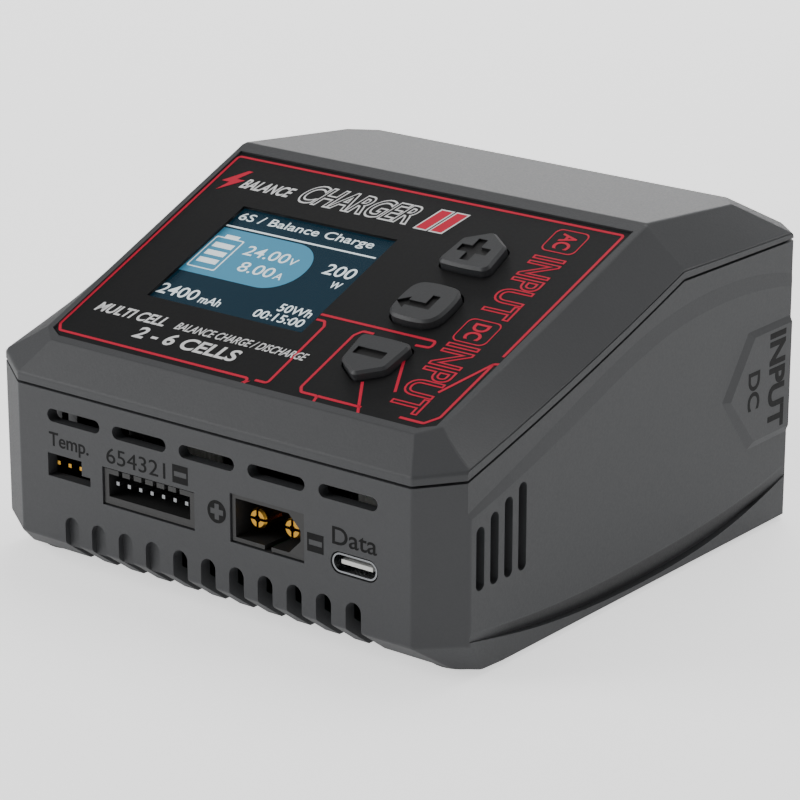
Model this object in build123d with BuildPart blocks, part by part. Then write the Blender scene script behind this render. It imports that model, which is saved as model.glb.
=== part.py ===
"""Balance battery charger: a desktop charger for multi-cell model batteries.

Two moulded case halves meet along a seam that climbs towards the back. The sloping panel holds a
display and three push buttons, the front face holds the sockets, and a fan blows out at the rear.
All sizes are millimetres. X is across, +Y points to the back, +Z is up, and the origin is on the
surface that the feet stand on, under the middle of the case.
"""
from build123d import *
import math
import os

os.makedirs("parts", exist_ok=True)

# ---------------------------------------------------------------- driving dimensions
case_width = 98.0
case_depth = 101.0
wall = 2.2                      # moulded wall of both case halves
edge_radius = 0.9               # rounding of the case's outer edges
lower_edge_height = 1.0         # the edges below this height stay sharp
foot_height = 1.0               # how far the rubber feet stand out of the underside

# Heights are measured from the underside of the case, distances from its front face.
front_corner = (7.6, 4.9)       # corner chamfers, across and back
rear_corner = (5.4, 5.0)
underside_rise = 4.4            # bevel under the front face
underside_run = 5.9
underside_corner_rise = 5.1
underside_corner_knee = (48.6, 8.5)  # turn of the underside's outline, across and back
underside_corner_end = 13.4     # where the corner's bevel runs out along the side

seam_gap = 0.45                 # shadow gap between the halves
lip_groove_width = 0.4          # fine groove along the foot of the bevels, on both sides
lip_groove_depth = 0.5
lip_groove_steps = 8
tongue_depth = 2.0              # how far the cover's inner tongue reaches below the seam
tongue_clearance = 0.1
seam_front = (0.0, 30.6)        # the seam's points as (distance, height)
seam_middle = (27.9, 38.4)
seam_bend = (62.8, 50.0)
seam_rear = (95.9, 49.4)
lip_rise_front = 1.8            # upright band of the cover above the seam
lip_rise_bend = 1.6
lip_rise_rear = 1.2

panel_tilt = 21.6               # slope of the panel, degrees
panel_top = (57.8, 58.4)        # a line across the panel near its top edge
panel_front_distance = 4.9      # where the panel meets the front bevel
panel_half_front = 41.4         # panel half width at its front and top
panel_half_top = 43.0
front_facet_run = 3.2           # width of the corner facet where it meets the panel
ridge_distance = 60.3           # where the panel meets the roof
roof_tilt = 5.9                 # the roof falls towards the back, degrees
roof_half_front = 42.8
roof_half_rear = 41.6
roof_end = 91.9                 # where the roof meets the rear bevel

# Label, display and keys, placed on the panel: across, and up the slope from panel_top.
label_recess = 0.8
label_thickness = 0.5
label_margin = 1.1              # rim of the cover beside the label
label_bottom = -55.5
label_top = 0.0
label_corner = (2.7, 1.5)
label_clearance = 0.15
window_size = (33.6, 27.0)
window_center = (-13.45, -27.35)
window_lap = 0.7                # how far the label overlaps the window
window_thickness = 0.5
window_clearance = 0.15
lcd_glass_thickness = 1.7
lcd_frame_thickness = 1.4
lcd_frame_lap = 2.4
board_thickness = 1.6
key_x = 20.0
key_pitch = 15.1
key_middle_v = -28.5
key_width = 10.4
key_height = 10.1
key_taper = 0.7                 # how far the sides draw in towards the pointed end
key_shoulder = 3.0              # height of the pointed end of the plus and minus keys
key_proud = 1.2                 # above the panel's plane
key_clearance = 0.3
key_travel = 0.6
key_flange = 0.9
key_flange_thickness = 0.9
key_corner = 1.3
key_bulge = 0.3
key_chamfer = 0.45
enter_corner = 2.8
enter_bulge = 0.6
symbol_depth = 0.45
symbol_length = 5.9
symbol_width = 1.8
symbol_side = -0.4              # signs sit a little left of the middle
symbol_shift = 0.5              # symbols and pockets sit away from a key's pointed end
pocket_shift = 1.0
pocket_size = 6.4               # hollow under a key, over its switch
pocket_depth = 0.4              # the hollow's roof, down from the panel's plane
switch_size = 6.0
switch_height = 3.1
plunger_diameter = 3.4
plunger_clearance = 0.05

# Front face, as (across, height).
upper_slot_pitch = 14.5
upper_slot_size = (11.7, 2.25)
upper_slot_height = 26.45
lower_slot_pitch = 6.0
lower_slot_count = 11
lower_slot_width = 3.1
lower_slot_top = 9.2
main_board_top = 13.6
balance_center_x = -12.75
balance_size = (20.1, 6.6)
balance_pin_pitch = 2.5
balance_pin_count = 7
output_center_x = 12.5
output_size = (15.3, 8.3)
output_pin_pitch = 7.2
output_pin_diameter = 3.5
temp_left = -35.05
temp_size = (7.65, 4.05)
temp_tab = (1.9, 1.55)
temp_bottom = main_board_top + 2.05
temp_body = (-36.2, -24.4, main_board_top + 7.4)    # left, right and top of the sensor socket
temp_length = 9.7
temp_rim = 1.0
temp_pin_x = -31.2
temp_pin_tip = 1.2
usb_center_x = 30.2
usb_size = (8.94, 3.26)
usb_front = 0.15
usb_length = 7.3
usb_wall = 0.3
usb_back = 0.7
usb_tongue_size = (6.2, 0.7)
socket_front = 0.3              # mouths of the sockets, behind the front face
balance_length = 12.0
balance_floor = 1.3
balance_cavity = (17.7, 3.95)
balance_cavity_depth = 8.0
balance_notch = 0.85
balance_notch_length = 3.0
balance_pin_tip = 1.0
square_pin = 0.64
pin_clearance = 0.03
socket_rim = 0.7
socket_key = 1.4                # notch in the rim of a two-pole power socket
socket_corner = 2.4
socket_back = 2.0
output_length = 12.0
output_pin_tip = 2.0
pin_leg = 1.4
bullet_hole = 1.2
bullet_slit = 0.5
bullet_split = 4.0
port_reveal = 0.25              # gap between a socket and its opening

# Sides, as (distance, height).
side_slot_first = 7.46
side_slot_pitch = 3.63
side_slot_width = 2.1
side_slot_bottom = 13.6
side_slot_top = 24.1
side_slot_step = 1.39
emblem_height = 0.5
emblem_outline = [(82.5, 36.4), (74.9, 25.9), (83.1, 15.35), (95.6, 15.35), (95.6, 36.4)]
emblem_face = [(83.9, 35.3), (76.9, 25.6), (84.5, 16.6), (95.6, 16.6), (95.6, 35.3)]
band_depth = 0.35               # the wall over the band is this much further in
band_low = [(1.0, 24.9), (5.1, 25.9), (28.4, 32.7), (57.6, 42.0), (76.0, 43.6), (100.0, 40.6)]
band_high = [(1.0, 25.6), (5.1, 27.0), (28.4, 35.6), (57.6, 45.0), (76.0, 46.5), (100.0, 42.5)]
groove_stations = [             # distance, upper edge, lower edge, depth
    (3.0, 7.4, 6.1, 0.05),
    (14.0, 6.2, 4.0, 0.7),
    (27.0, 5.1, 2.1, 1.1),
    (50.0, 4.9, 0.9, 1.2),
    (72.0, 5.9, 1.9, 1.1),
    (86.0, 7.5, 4.4, 0.7),
    (98.0, 10.0, 7.8, 0.05),
]
groove_rail = (4.6, 10.8)       # thickening of the side walls behind the groove

# Rear face.
fan_size = 40.0
fan_thickness = 10.0
fan_center = (17.0, 25.5)
fan_hole_pitch = 32.0
fan_bore = 37.6
rotor_diameter = 36.8
hub_diameter = 21.0
fan_blade_count = 7
fan_shaft_diameter = 2.0
fan_shaft_clearance = 0.03
ac_center_x = -28.7
dc_center_x = -11.5
power_board_top = 7.6

# ---------------------------------------------------------------- shared values
half_width = case_width / 2
front_y = -case_depth / 2
rear_y = case_depth / 2
floor_z = foot_height
tilt = math.radians(panel_tilt)
roof_fall = math.tan(math.radians(roof_tilt))
panel_rise = math.tan(tilt)


def at(x, distance, height):
    """A point given by its distance from the front face and its height over the underside."""
    return Vector(x, front_y + distance, floor_z + height)


def across(distance):
    """A plane parallel to the front face: local X is across, local Y is height, +Z faces front."""
    return Plane(origin=at(0, distance, 0), x_dir=(1, 0, 0), z_dir=(0, -1, 0))


def side_plane(inset=0.0):
    """The right side: local X is distance from the front, local Y is height, +Z faces right."""
    return Plane(origin=at(half_width - inset, 0, 0), x_dir=(0, 1, 0), z_dir=(1, 0, 0))


def level(height):
    """A horizontal plane at a height over the underside, centred on the case."""
    return Plane.XY.offset(floor_z + height)


panel = Plane(origin=at(0, *panel_top), x_dir=(1, 0, 0), z_dir=(0, -math.sin(tilt), math.cos(tilt)))


def panel_height(distance):
    return panel_top[1] + (distance - panel_top[0]) * panel_rise


ridge_height = panel_height(ridge_distance)


def roof_height(distance):
    return ridge_height - (distance - ridge_distance) * roof_fall


def seam_slope(distance):
    """Height of the seam, a shallow curve up to the bend and nearly level behind it."""
    if distance > seam_bend[0]:
        fall = (seam_rear[1] - seam_bend[1]) / (seam_rear[0] - seam_bend[0])
        return seam_bend[1] + (distance - seam_bend[0]) * fall
    points = [seam_front, seam_middle, seam_bend]
    height = 0.0
    for i, (di, hi) in enumerate(points):
        term = hi
        for j, (dj, hj) in enumerate(points):
            if j != i:
                term *= (distance - dj) / (di - dj)
        height += term
    return height


def lip_height(distance):
    """Height of the cover's upright band, where the bevels start."""
    if distance > seam_bend[0]:
        share = (distance - seam_bend[0]) / (case_depth - seam_bend[0])
        rise = lip_rise_bend + (lip_rise_rear - lip_rise_bend) * share
    else:
        rise = lip_rise_front + (lip_rise_bend - lip_rise_front) * distance / seam_bend[0]
    return seam_slope(distance) + rise


case_middle = at(0, case_depth / 2, 25.0)


def outward_plane(a, b, c):
    """The plane through three points, with its normal pointing out of the case."""
    normal = (b - a).cross(c - a).normalized()
    if normal.dot(a - case_middle) < 0:
        normal = normal * -1
    return Plane(origin=a, z_dir=normal)


def flipped(point):
    return Vector(-point.X, point.Y, point.Z)


# Flat faces that bound the case above its upright walls and under its front.
lip_front = lip_height(0)
lip_rear = lip_height(case_depth)
front_corner_x = half_width - front_corner[0]
rear_corner_x = half_width - rear_corner[0]
front_facet_x = panel_half_front - front_facet_run
front_panel_height = panel_height(panel_front_distance)
corner_triples = [
    # front corner bevel, rear corner bevel, bevel under the front corner
    (at(front_corner_x, 0, lip_front), at(half_width, front_corner[1], lip_height(front_corner[1])),
     at(front_facet_x, panel_front_distance, front_panel_height)),
    (at(rear_corner_x, case_depth, lip_rear),
     at(half_width, case_depth - rear_corner[1], lip_height(case_depth - rear_corner[1])),
     at(roof_half_rear - 2.2, roof_end - 2.0, roof_height(roof_end - 2.0))),
    (at(front_corner_x, 0, underside_rise), at(half_width, front_corner[1], underside_corner_rise),
     at(*underside_corner_knee, 0)),
    (at(half_width, front_corner[1], underside_corner_rise), at(half_width, underside_corner_end, 0),
     at(*underside_corner_knee, 0)),
]
case_planes = [
    panel,
    outward_plane(at(0, ridge_distance, ridge_height), at(10, ridge_distance, ridge_height),
                  at(0, roof_end, roof_height(roof_end))),
    outward_plane(at(0, 0, lip_front), at(10, 0, lip_front),
                  at(0, panel_front_distance, front_panel_height)),
    outward_plane(at(0, case_depth, lip_rear), at(10, case_depth, lip_rear),
                  at(0, roof_end, roof_height(roof_end))),
    outward_plane(at(0, 0, underside_rise), at(10, 0, underside_rise), at(0, underside_run, 0)),
]
for triple in corner_triples:
    case_planes.append(outward_plane(*triple))
    case_planes.append(outward_plane(*[flipped(p) for p in triple]))


def bevel_section(distance, low, high, inset):
    """Triangle over a side bevel: low and high are its (x, height) points, moved in by inset."""
    run = high[0] - low[0]
    rise = high[1] - low[1]
    length = math.hypot(run, rise)
    shift = Vector(-rise / length, run / length) * inset
    reach = 14.0
    start = Vector(low[0] - run / length * reach, low[1] - rise / length * reach) + shift
    end = Vector(high[0] + run / length * reach, high[1] + rise / length * reach) + shift
    with BuildSketch(across(distance)) as section:
        with BuildLine():
            Polyline((start.X, start.Y), (end.X, end.Y), (half_width + 30, 95), close=True)
        make_face()
    return section.sketch


def panel_half(distance):
    share = (distance - panel_front_distance) / (ridge_distance - panel_front_distance)
    return panel_half_front + (panel_half_top - panel_half_front) * share


def roof_half(distance):
    share = (distance - ridge_distance) / (roof_end - ridge_distance)
    return roof_half_front + (roof_half_rear - roof_half_front) * share


def side_bevel_cutters(inset):
    """Solids that cut the twisted bevels between the right wall and the panel and roof."""
    front_sections = []
    for distance in (-6.0, 28.0, 70.0):
        low = (half_width, lip_height(min(distance, seam_bend[0])))
        if distance > seam_bend[0]:
            slope = lip_height(seam_bend[0]) - lip_height(seam_bend[0] - 1)
            low = (half_width, lip_height(seam_bend[0]) + (distance - seam_bend[0]) * slope)
        high = (panel_half(distance), panel_height(distance))
        front_sections.append(bevel_section(distance, low, high, inset))
    rear_sections = []
    for distance in (50.0, case_depth + 6):
        fall = (lip_height(case_depth) - lip_height(seam_bend[0] + 0.01)) / (case_depth - seam_bend[0])
        low = (half_width, lip_height(case_depth) + (distance - case_depth) * fall)
        high = (roof_half(distance), roof_height(distance))
        rear_sections.append(bevel_section(distance, low, high, inset))
    return [loft(sections=front_sections), loft(sections=rear_sections)]


def case_form(inset):
    """The whole case as one closed shape, moved in by inset on every side."""
    half = half_width
    with BuildPart() as form:
        with BuildSketch(level(inset)):
            with BuildLine():
                Polyline(
                    (-front_corner_x, front_y), (front_corner_x, front_y),
                    (half, front_y + front_corner[1]), (half, rear_y - rear_corner[1]),
                    (rear_corner_x, rear_y), (-rear_corner_x, rear_y),
                    (-half, rear_y - rear_corner[1]), (-half, front_y + front_corner[1]), close=True)
            make_face()
            if inset > 0:
                offset(amount=-inset, kind=Kind.INTERSECTION, mode=Mode.REPLACE)
        extrude(amount=ridge_height + 6)
        for plane in case_planes:
            split(bisect_by=plane.offset(-inset), keep=Keep.BOTTOM)
        for cutter in side_bevel_cutters(inset):
            add(cutter, mode=Mode.SUBTRACT)
            add(mirror(cutter, about=Plane.YZ, mode=Mode.PRIVATE), mode=Mode.SUBTRACT)
    return form.part


def above_seam(lift):
    """Everything over the seam's curve raised by lift, wide enough to cut the whole case."""
    margin = 8.0
    with BuildPart() as block:
        with BuildSketch(Plane(origin=at(-half_width - margin, 0, 0), x_dir=(0, 1, 0), z_dir=(1, 0, 0))):
            with BuildLine():
                start = (-margin, seam_slope(-margin) + lift)
                bend = (seam_bend[0], seam_bend[1] + lift)
                end = (case_depth + margin, seam_slope(case_depth + margin) + lift)
                ThreePointArc(start, (seam_middle[0], seam_middle[1] + lift), bend)
                Polyline(bend, end, (case_depth + margin, 90), (-margin, 90), start)
            make_face()
        extrude(amount=case_width + 2 * margin)
    return block.part


def on_panel(depth):
    """A plane parallel to the panel, this deep under it: local X is across, local Y is up the slope."""
    return panel.offset(-depth)


def turned_level(x, height, profile):
    """A turned solid on an axis that runs front to back; the profile is (radius, distance)."""
    with BuildPart() as solid:
        with BuildSketch(Plane(origin=at(x, 0, height), x_dir=(1, 0, 0), z_dir=(0, 0, 1))):
            with BuildLine():
                Polyline(*profile, close=True)
            make_face()
        revolve(axis=Axis(at(x, 0, height), (0, 1, 0)))
    return solid.part


def turned_upright(x, distance, profile):
    """A turned solid on an upright axis; the profile is (radius, height)."""
    with BuildPart() as solid:
        with BuildSketch(across(distance)):
            with BuildLine():
                Polyline(*[(x + radius, height) for radius, height in profile], close=True)
            make_face()
        revolve(axis=Axis(at(x, distance, 0), (0, 0, 1)))
    return solid.part


def spots(places):
    """Sketch points on a horizontal plane for a list of (across, distance) places."""
    return Locations(*[(x, front_y + distance) for x, distance in places])


def label_points(margin):
    """Outline of the label on the panel, this far inside the recess's edge."""
    top, bottom = label_top - margin, label_bottom + margin
    half_top = panel_half(panel_top[0]) - label_margin - margin
    half_bottom = panel_half(panel_top[0] + label_bottom * math.cos(tilt)) - label_margin - margin
    side = bottom + label_corner[1]
    return [(-half_top, top), (half_top, top), (half_bottom, side), (half_bottom - label_corner[0], bottom),
            (-half_bottom + label_corner[0], bottom), (-half_bottom, side)]


def key_outline(kind, grow):
    """Outline of a key about its centre: kind is 1 for a point at the top, -1 below, 0 for none."""
    x, y = key_width / 2 + grow, key_height / 2 + grow
    with BuildSketch() as outline:
        with BuildLine():
            if kind:
                corner = (x, -y + key_bulge)
                shoulder = (x - key_taper, y - key_shoulder - grow * 0.3)
                ThreePointArc((-corner[0], corner[1]), (0, -y), corner)
                Polyline(corner, shoulder, (0, y), (-shoulder[0], shoulder[1]), (-corner[0], corner[1]))
            else:
                right, top = x - enter_bulge, y - enter_bulge
                ThreePointArc((-right, -top), (0, -y), (right, -top))
                ThreePointArc((right, -top), (x, 0), (right, top))
                ThreePointArc((right, top), (0, y), (-right, top))
                ThreePointArc((-right, top), (-x, 0), (-right, -top))
        make_face()
        fillet(outline.vertices(), radius=(key_corner if kind else enter_corner) + grow * 0.5)
    if kind < 0:
        return Rotation(0, 0, 180) * outline.sketch
    return outline.sketch


# ---------------------------------------------------------------- case halves
with BuildPart() as rounded_form:
    add(case_form(0))
    raised = rounded_form.edges().filter_by(lambda edge: edge.center().Z > floor_z + lower_edge_height)
    # where the bevels meet too closely for the rounding, only the upright corners get it
    for edges in (raised, raised.filter_by(Axis.Z)):
        try:
            fillet(edges, radius=edge_radius)
            break
        except ValueError:
            continue
case_outer = rounded_form.part
case_inner = case_form(wall)
post_spots = [(-42.0, 25.5), (42.0, 25.5), (-42.0, 91.0), (42.0, 91.0)]
post_split = 24.0               # height where the cover's posts meet the housing's
post_radius = 3.3
post_base_radius = 4.1
post_base_height = 7.5
screw_radius = 1.45
screw_hole = 0.15               # radial clearance round every screw
screw_head = (2.75, 2.0)
screw_counterbore = 4.0
screw_reach = 8.0               # how far the case screws enter the cover's posts

foot_spots = [(-41.6, 12.6), (41.6, 12.6), (-41.6, 80.0), (41.6, 80.0)]
foot_radius = 5.8
foot_recess = 0.8

main_board_half = 38.0
main_board_span = (2.7, 56.0)
main_standoffs = [(-34.5, 15.8), (34.0, 11.5), (-34.0, 52.0), (34.0, 52.0)]
power_board_span = (58.0, case_depth - 14.5)
power_tongue = (-37.3, -3.7, case_depth - 3)    # left, right and rear ends under the inlets
power_standoffs = [(-34.0, 61.0), (34.0, 61.5), (-16.5, 83.8), (34.0, 83.0)]
standoff_radius = 2.6
board_screw_radius = 1.1
board_screw_head = (2.1, 1.4)
board_screw_reach = 4.0


def port_outline(width, height, corner):
    """A rectangle with its two right corners cut, as on the two-pole power sockets."""
    x, y = width / 2, height / 2
    return [(-x, -y), (x - corner, -y), (x, -y + corner), (x, y - corner), (x - corner, y), (-x, y)]


temp_points = [
    (temp_left, temp_bottom), (temp_left + temp_size[0] + temp_tab[0], temp_bottom),
    (temp_left + temp_size[0] + temp_tab[0], temp_bottom + temp_tab[1]),
    (temp_left + temp_size[0], temp_bottom + temp_tab[1]),
    (temp_left + temp_size[0], temp_bottom + temp_size[1]),
    (temp_left, temp_bottom + temp_size[1]),
]
ac_size = (17.2, 10.6)
socket_height = 8.0             # body of the two-pole power sockets
socket_width = output_size[0] - 2 * port_reveal
balance_body = (balance_size[0] - 2 * port_reveal, balance_size[1] - 2 * port_reveal)
fan_axis = (fan_center[0], fan_center[1])
fan_face = case_depth - wall    # distance of the rear wall's inner face
grille_rings = [(5.0, 7.4), (8.7, 11.1), (12.4, 14.8), (16.1, 18.5)]
grille_bar = 1.8
blind_rib = (1.1, 3.6, 10.0, 1.5)   # distance, low, high, thickness
fan_screw_radius = 1.5
fan_screw_head = 3.0
fan_screw_length = 11.0
fan_screw_spots = [(fan_center[0] + i * fan_hole_pitch / 2, fan_center[1] + j * fan_hole_pitch / 2)
                   for i in (-1, 1) for j in (-1, 1)]
fan_screw_cone = 1.5
countersink_radius = fan_screw_head + screw_hole
cone_end = case_depth - fan_screw_cone
fan_countersink = [(0, case_depth + 1), (countersink_radius, case_depth + 1),
                   (countersink_radius, case_depth), (fan_screw_radius + screw_hole, cone_end),
                   (0, cone_end)]

with BuildPart() as seam_rebate:
    add(case_form(wall / 2))
    add(above_seam(-tongue_depth), mode=Mode.INTERSECT)

with BuildPart() as band_cutter:
    sections = []
    for outset, share in ((band_depth, -1), (-band_depth, 1)):
        points = [(low[0], low[1] + (high[1] - low[1]) * share) for low, high in zip(band_low, band_high)]
        with BuildSketch(side_plane(-outset)) as section:
            with BuildLine():
                edge = Spline(*points)
                Polyline(edge @ 1, (points[-1][0], 62), (points[0][0], 62), edge @ 0)
            make_face()
        sections.append(section.sketch)
    loft(sections=sections)

with BuildPart() as groove_cutter:
    sections = []
    for distance, upper, lower, depth in groove_stations:
        with BuildSketch(across(distance)) as section:
            with BuildLine():
                Polyline((half_width + 1, upper), (half_width, upper), (half_width - depth, lower),
                         (half_width + 1, lower), close=True)
            make_face()
        sections.append(section.sketch)
    loft(sections=sections)

with BuildPart() as emblem:
    with BuildSketch(side_plane()) as emblem_foot:
        with BuildLine():
            Polyline(*emblem_outline, close=True)
        make_face()
    with BuildSketch(side_plane(-emblem_height)) as emblem_top:
        with BuildLine():
            Polyline(*emblem_face, close=True)
        make_face()
    loft()

with BuildPart() as lower_housing:
    add(case_outer)
    add(above_seam(0), mode=Mode.SUBTRACT)
    add(case_inner, mode=Mode.SUBTRACT)
    # thick foot of the side walls, behind the groove
    with BuildPart(mode=Mode.PRIVATE) as rails:
        with BuildSketch(level(0)):
            for side in (-1, 1):
                with Locations((side * (half_width - groove_rail[0] / 2), 0)):
                    Rectangle(groove_rail[0], case_depth)
        extrude(amount=groove_rail[1])
        add(case_outer, mode=Mode.INTERSECT)
    add(rails.part)
    # screw posts and board standoffs
    with BuildSketch(level(0)):
        with spots(post_spots):
            Circle(post_base_radius)
    extrude(amount=post_base_height)
    with BuildSketch(level(0)):
        with spots(post_spots):
            Circle(post_radius)
    extrude(amount=post_split)
    with BuildSketch(level(0)):
        with spots(main_standoffs):
            Circle(standoff_radius)
    extrude(amount=main_board_top - board_thickness)
    with BuildSketch(level(0)):
        with spots(power_standoffs):
            Circle(standoff_radius)
    extrude(amount=power_board_top - board_thickness)
    for top, places in ((main_board_top, main_standoffs), (power_board_top, power_standoffs)):
        with BuildSketch(level(top - board_thickness - board_screw_reach)):
            with spots(places):
                Circle(board_screw_radius + screw_hole)
        extrude(amount=board_screw_reach, mode=Mode.SUBTRACT)
    # screw holes and counterbores from below, and pockets for the feet
    with BuildSketch(level(0)):
        with spots(post_spots):
            Circle(screw_radius + screw_hole)
    extrude(amount=post_split, mode=Mode.SUBTRACT)
    with BuildSketch(level(0)):
        with spots(post_spots):
            Circle(screw_head[0] + screw_hole)
    extrude(amount=screw_counterbore, mode=Mode.SUBTRACT)
    with BuildSketch(level(0)):
        with spots(foot_spots):
            Circle(foot_radius)
    extrude(amount=foot_recess, mode=Mode.SUBTRACT)
    # upright features of the sides
    for cutter in (band_cutter.part, groove_cutter.part):
        add(cutter, mode=Mode.SUBTRACT)
        add(mirror(cutter, about=Plane.YZ, mode=Mode.PRIVATE), mode=Mode.SUBTRACT)
    add(emblem.part)
    add(mirror(emblem.part, about=Plane.YZ, mode=Mode.PRIVATE))
    for i in range(4):
        top = side_slot_top + i * side_slot_step
        with BuildSketch(side_plane(-1)):
            with Locations((side_slot_first + i * side_slot_pitch, (top + side_slot_bottom) / 2)):
                SlotOverall(top - side_slot_bottom, side_slot_width, rotation=90)
        extrude(amount=-(case_width + 2), mode=Mode.SUBTRACT)
    # front vents and socket openings
    with BuildSketch(across(-1)):
        with Locations((0, upper_slot_height)):
            with GridLocations(upper_slot_pitch, 1, 5, 1):
                SlotOverall(*upper_slot_size)
        with Locations((balance_center_x, main_board_top - port_reveal + balance_size[1] / 2)):
            Rectangle(*balance_size)
        with Locations((output_center_x, main_board_top - port_reveal + output_size[1] / 2)):
            Rectangle(*output_size)
        Polygon(*temp_points, align=None)
        with Locations((usb_center_x, main_board_top + usb_size[1] / 2)):
            SlotOverall(usb_size[0] + 2 * port_reveal, usb_size[1] + 2 * port_reveal)
    extrude(amount=-(wall + 1), mode=Mode.SUBTRACT)
    with BuildSketch(across(-1)):
        with GridLocations(lower_slot_pitch, 1, lower_slot_count, 1):
            with Locations((0, (lower_slot_top - 4) / 2)):
                SlotOverall(lower_slot_top + 4, lower_slot_width, rotation=90)
    extrude(amount=-(underside_run + 2.5), mode=Mode.SUBTRACT)
    # a rib closes the four left lower slots a little way in
    with BuildSketch(across(blind_rib[0])):
        with Locations((-1.5 * lower_slot_pitch - 2 * lower_slot_pitch, (blind_rib[1] + blind_rib[2]) / 2)):
            Rectangle(4 * lower_slot_pitch, blind_rib[2] - blind_rib[1])
    extrude(amount=-blind_rib[3])
    # rear wall: fan grille, fan screws and the two inlets
    with BuildSketch(across(case_depth + 1)):
        with Locations(fan_axis):
            for inner_r, outer_r in reversed(grille_rings):
                Circle(outer_r)
                Circle(inner_r, mode=Mode.SUBTRACT)
            for turn in (45, 135):
                Rectangle(fan_size, grille_bar, rotation=turn, mode=Mode.SUBTRACT)
            with GridLocations(fan_hole_pitch, fan_hole_pitch, 2, 2):
                Circle(fan_screw_radius + screw_hole)
        with Locations((ac_center_x, power_board_top + ac_size[1] / 2)):
            Rectangle(ac_size[0] + 2 * port_reveal, ac_size[1] + 2 * port_reveal)
        with Locations((dc_center_x, power_board_top + socket_height / 2)):
            Rectangle(socket_width + 2 * port_reveal, socket_height + 2 * port_reveal)
    extrude(amount=wall + 1, mode=Mode.SUBTRACT)
    for x, height in fan_screw_spots:
        add(turned_level(x, height, fan_countersink), mode=Mode.SUBTRACT)
    # rebate for the cover's tongue
    add(seam_rebate.part, mode=Mode.SUBTRACT)
lower_housing.part.label = "lower_housing"
export_step(lower_housing.part, "parts/lower_housing.step")

cover_opening = (window_size[0] + 2 * window_lap + 2 * window_clearance,
                 window_size[1] + 2 * window_lap + 2 * window_clearance)
control_standoffs = [(-31.0, -6.0), (28.0, -6.0), (-31.0, -51.0), (28.0, -51.0)]
control_board_edges = (-33.5, 30.5, -53.5, -3.0)
control_board_depth = label_recess + window_thickness + lcd_glass_thickness + lcd_frame_thickness
control_screw_reach = 1.9

with BuildPart() as cover_tongue:
    add(case_form(wall / 2 + tongue_clearance))
    add(above_seam(tongue_clearance - tongue_depth), mode=Mode.INTERSECT)

with BuildPart() as lip_groove:
    with BuildSketch(side_plane(lip_groove_depth)):
        with BuildLine():
            stops = [seam_bend[0] * step / lip_groove_steps for step in range(lip_groove_steps + 1)]
            stops.append(case_depth + 1)
            low_edge = [(stop, lip_height(stop)) for stop in stops]
            high_edge = [(stop, height + lip_groove_width) for stop, height in reversed(low_edge)]
            Polyline(*low_edge, *high_edge, close=True)
        make_face()
    extrude(amount=lip_groove_depth + 1)

with BuildPart() as top_cover:
    add(cover_tongue.part)
    with BuildPart(mode=Mode.PRIVATE) as cover_skin:
        add(case_outer)
        add(above_seam(seam_gap), mode=Mode.INTERSECT)
    add(cover_skin.part)
    add(case_inner, mode=Mode.SUBTRACT)
    add(band_cutter.part, mode=Mode.SUBTRACT)
    add(mirror(band_cutter.part, about=Plane.YZ, mode=Mode.PRIVATE), mode=Mode.SUBTRACT)
    add(lip_groove.part, mode=Mode.SUBTRACT)
    add(mirror(lip_groove.part, about=Plane.YZ, mode=Mode.PRIVATE), mode=Mode.SUBTRACT)
    # screw posts that meet the housing's, closed at the top by the skin
    with BuildPart(mode=Mode.PRIVATE) as posts:
        with BuildSketch(level(post_split)):
            with spots(post_spots):
                Circle(post_radius)
        extrude(amount=ridge_height)
        add(case_form(wall / 2), mode=Mode.INTERSECT)
        with BuildSketch(level(post_split)):
            with spots(post_spots):
                Circle(screw_radius + screw_hole)
        extrude(amount=screw_reach + 1, mode=Mode.SUBTRACT)
    add(posts.part)
    # label recess, window and key openings in the panel
    with BuildSketch(on_panel(label_recess)):
        with BuildLine():
            Polyline(*label_points(0), close=True)
        make_face()
    extrude(amount=label_recess + 1, mode=Mode.SUBTRACT)
    with BuildSketch(on_panel(wall + 1)):
        with Locations(window_center):
            Rectangle(*cover_opening)
    extrude(amount=wall + 1, mode=Mode.SUBTRACT)
    for kind in (-1, 0, 1):
        with BuildSketch(on_panel(wall + 1)):
            with Locations((key_x, key_middle_v + kind * key_pitch)):
                add(key_outline(kind, key_clearance))
        extrude(amount=wall + 1, mode=Mode.SUBTRACT)
    # standoffs for the control board
    with BuildSketch(on_panel(control_board_depth)):
        with Locations(*control_standoffs):
            Circle(standoff_radius)
    extrude(amount=control_board_depth - wall + 0.1)
    with BuildSketch(on_panel(control_board_depth)):
        with Locations(*control_standoffs):
            Circle(board_screw_radius + screw_hole)
    extrude(amount=control_screw_reach + 0.2, mode=Mode.SUBTRACT)
top_cover.part.label = "top_cover"
export_step(top_cover.part, "parts/top_cover.step")

# ---------------------------------------------------------------- panel: label, display and keys
with BuildPart() as label_panel:
    with BuildSketch(on_panel(label_recess)):
        with BuildLine():
            Polyline(*label_points(label_clearance), close=True)
        make_face()
        with Locations(window_center):
            Rectangle(*window_size, mode=Mode.SUBTRACT)
        for kind in (-1, 0, 1):
            with Locations((key_x, key_middle_v + kind * key_pitch)):
                add(key_outline(kind, key_clearance), mode=Mode.SUBTRACT)
    extrude(amount=label_thickness)
label_panel.part.label = "label_panel"
export_step(label_panel.part, "parts/label_panel.step")

window_depth = label_recess + window_thickness
glass_depth = window_depth + lcd_glass_thickness
glass_size = (window_size[0] + 2 * window_lap, window_size[1] + 2 * window_lap)
frame_depth = glass_depth + lcd_frame_thickness

with BuildPart() as display_window:
    with BuildSketch(on_panel(window_depth)):
        with Locations(window_center):
            Rectangle(*glass_size)
    extrude(amount=window_thickness)
display_window.part.label = "display_window"
export_step(display_window.part, "parts/display_window.step")

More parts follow.
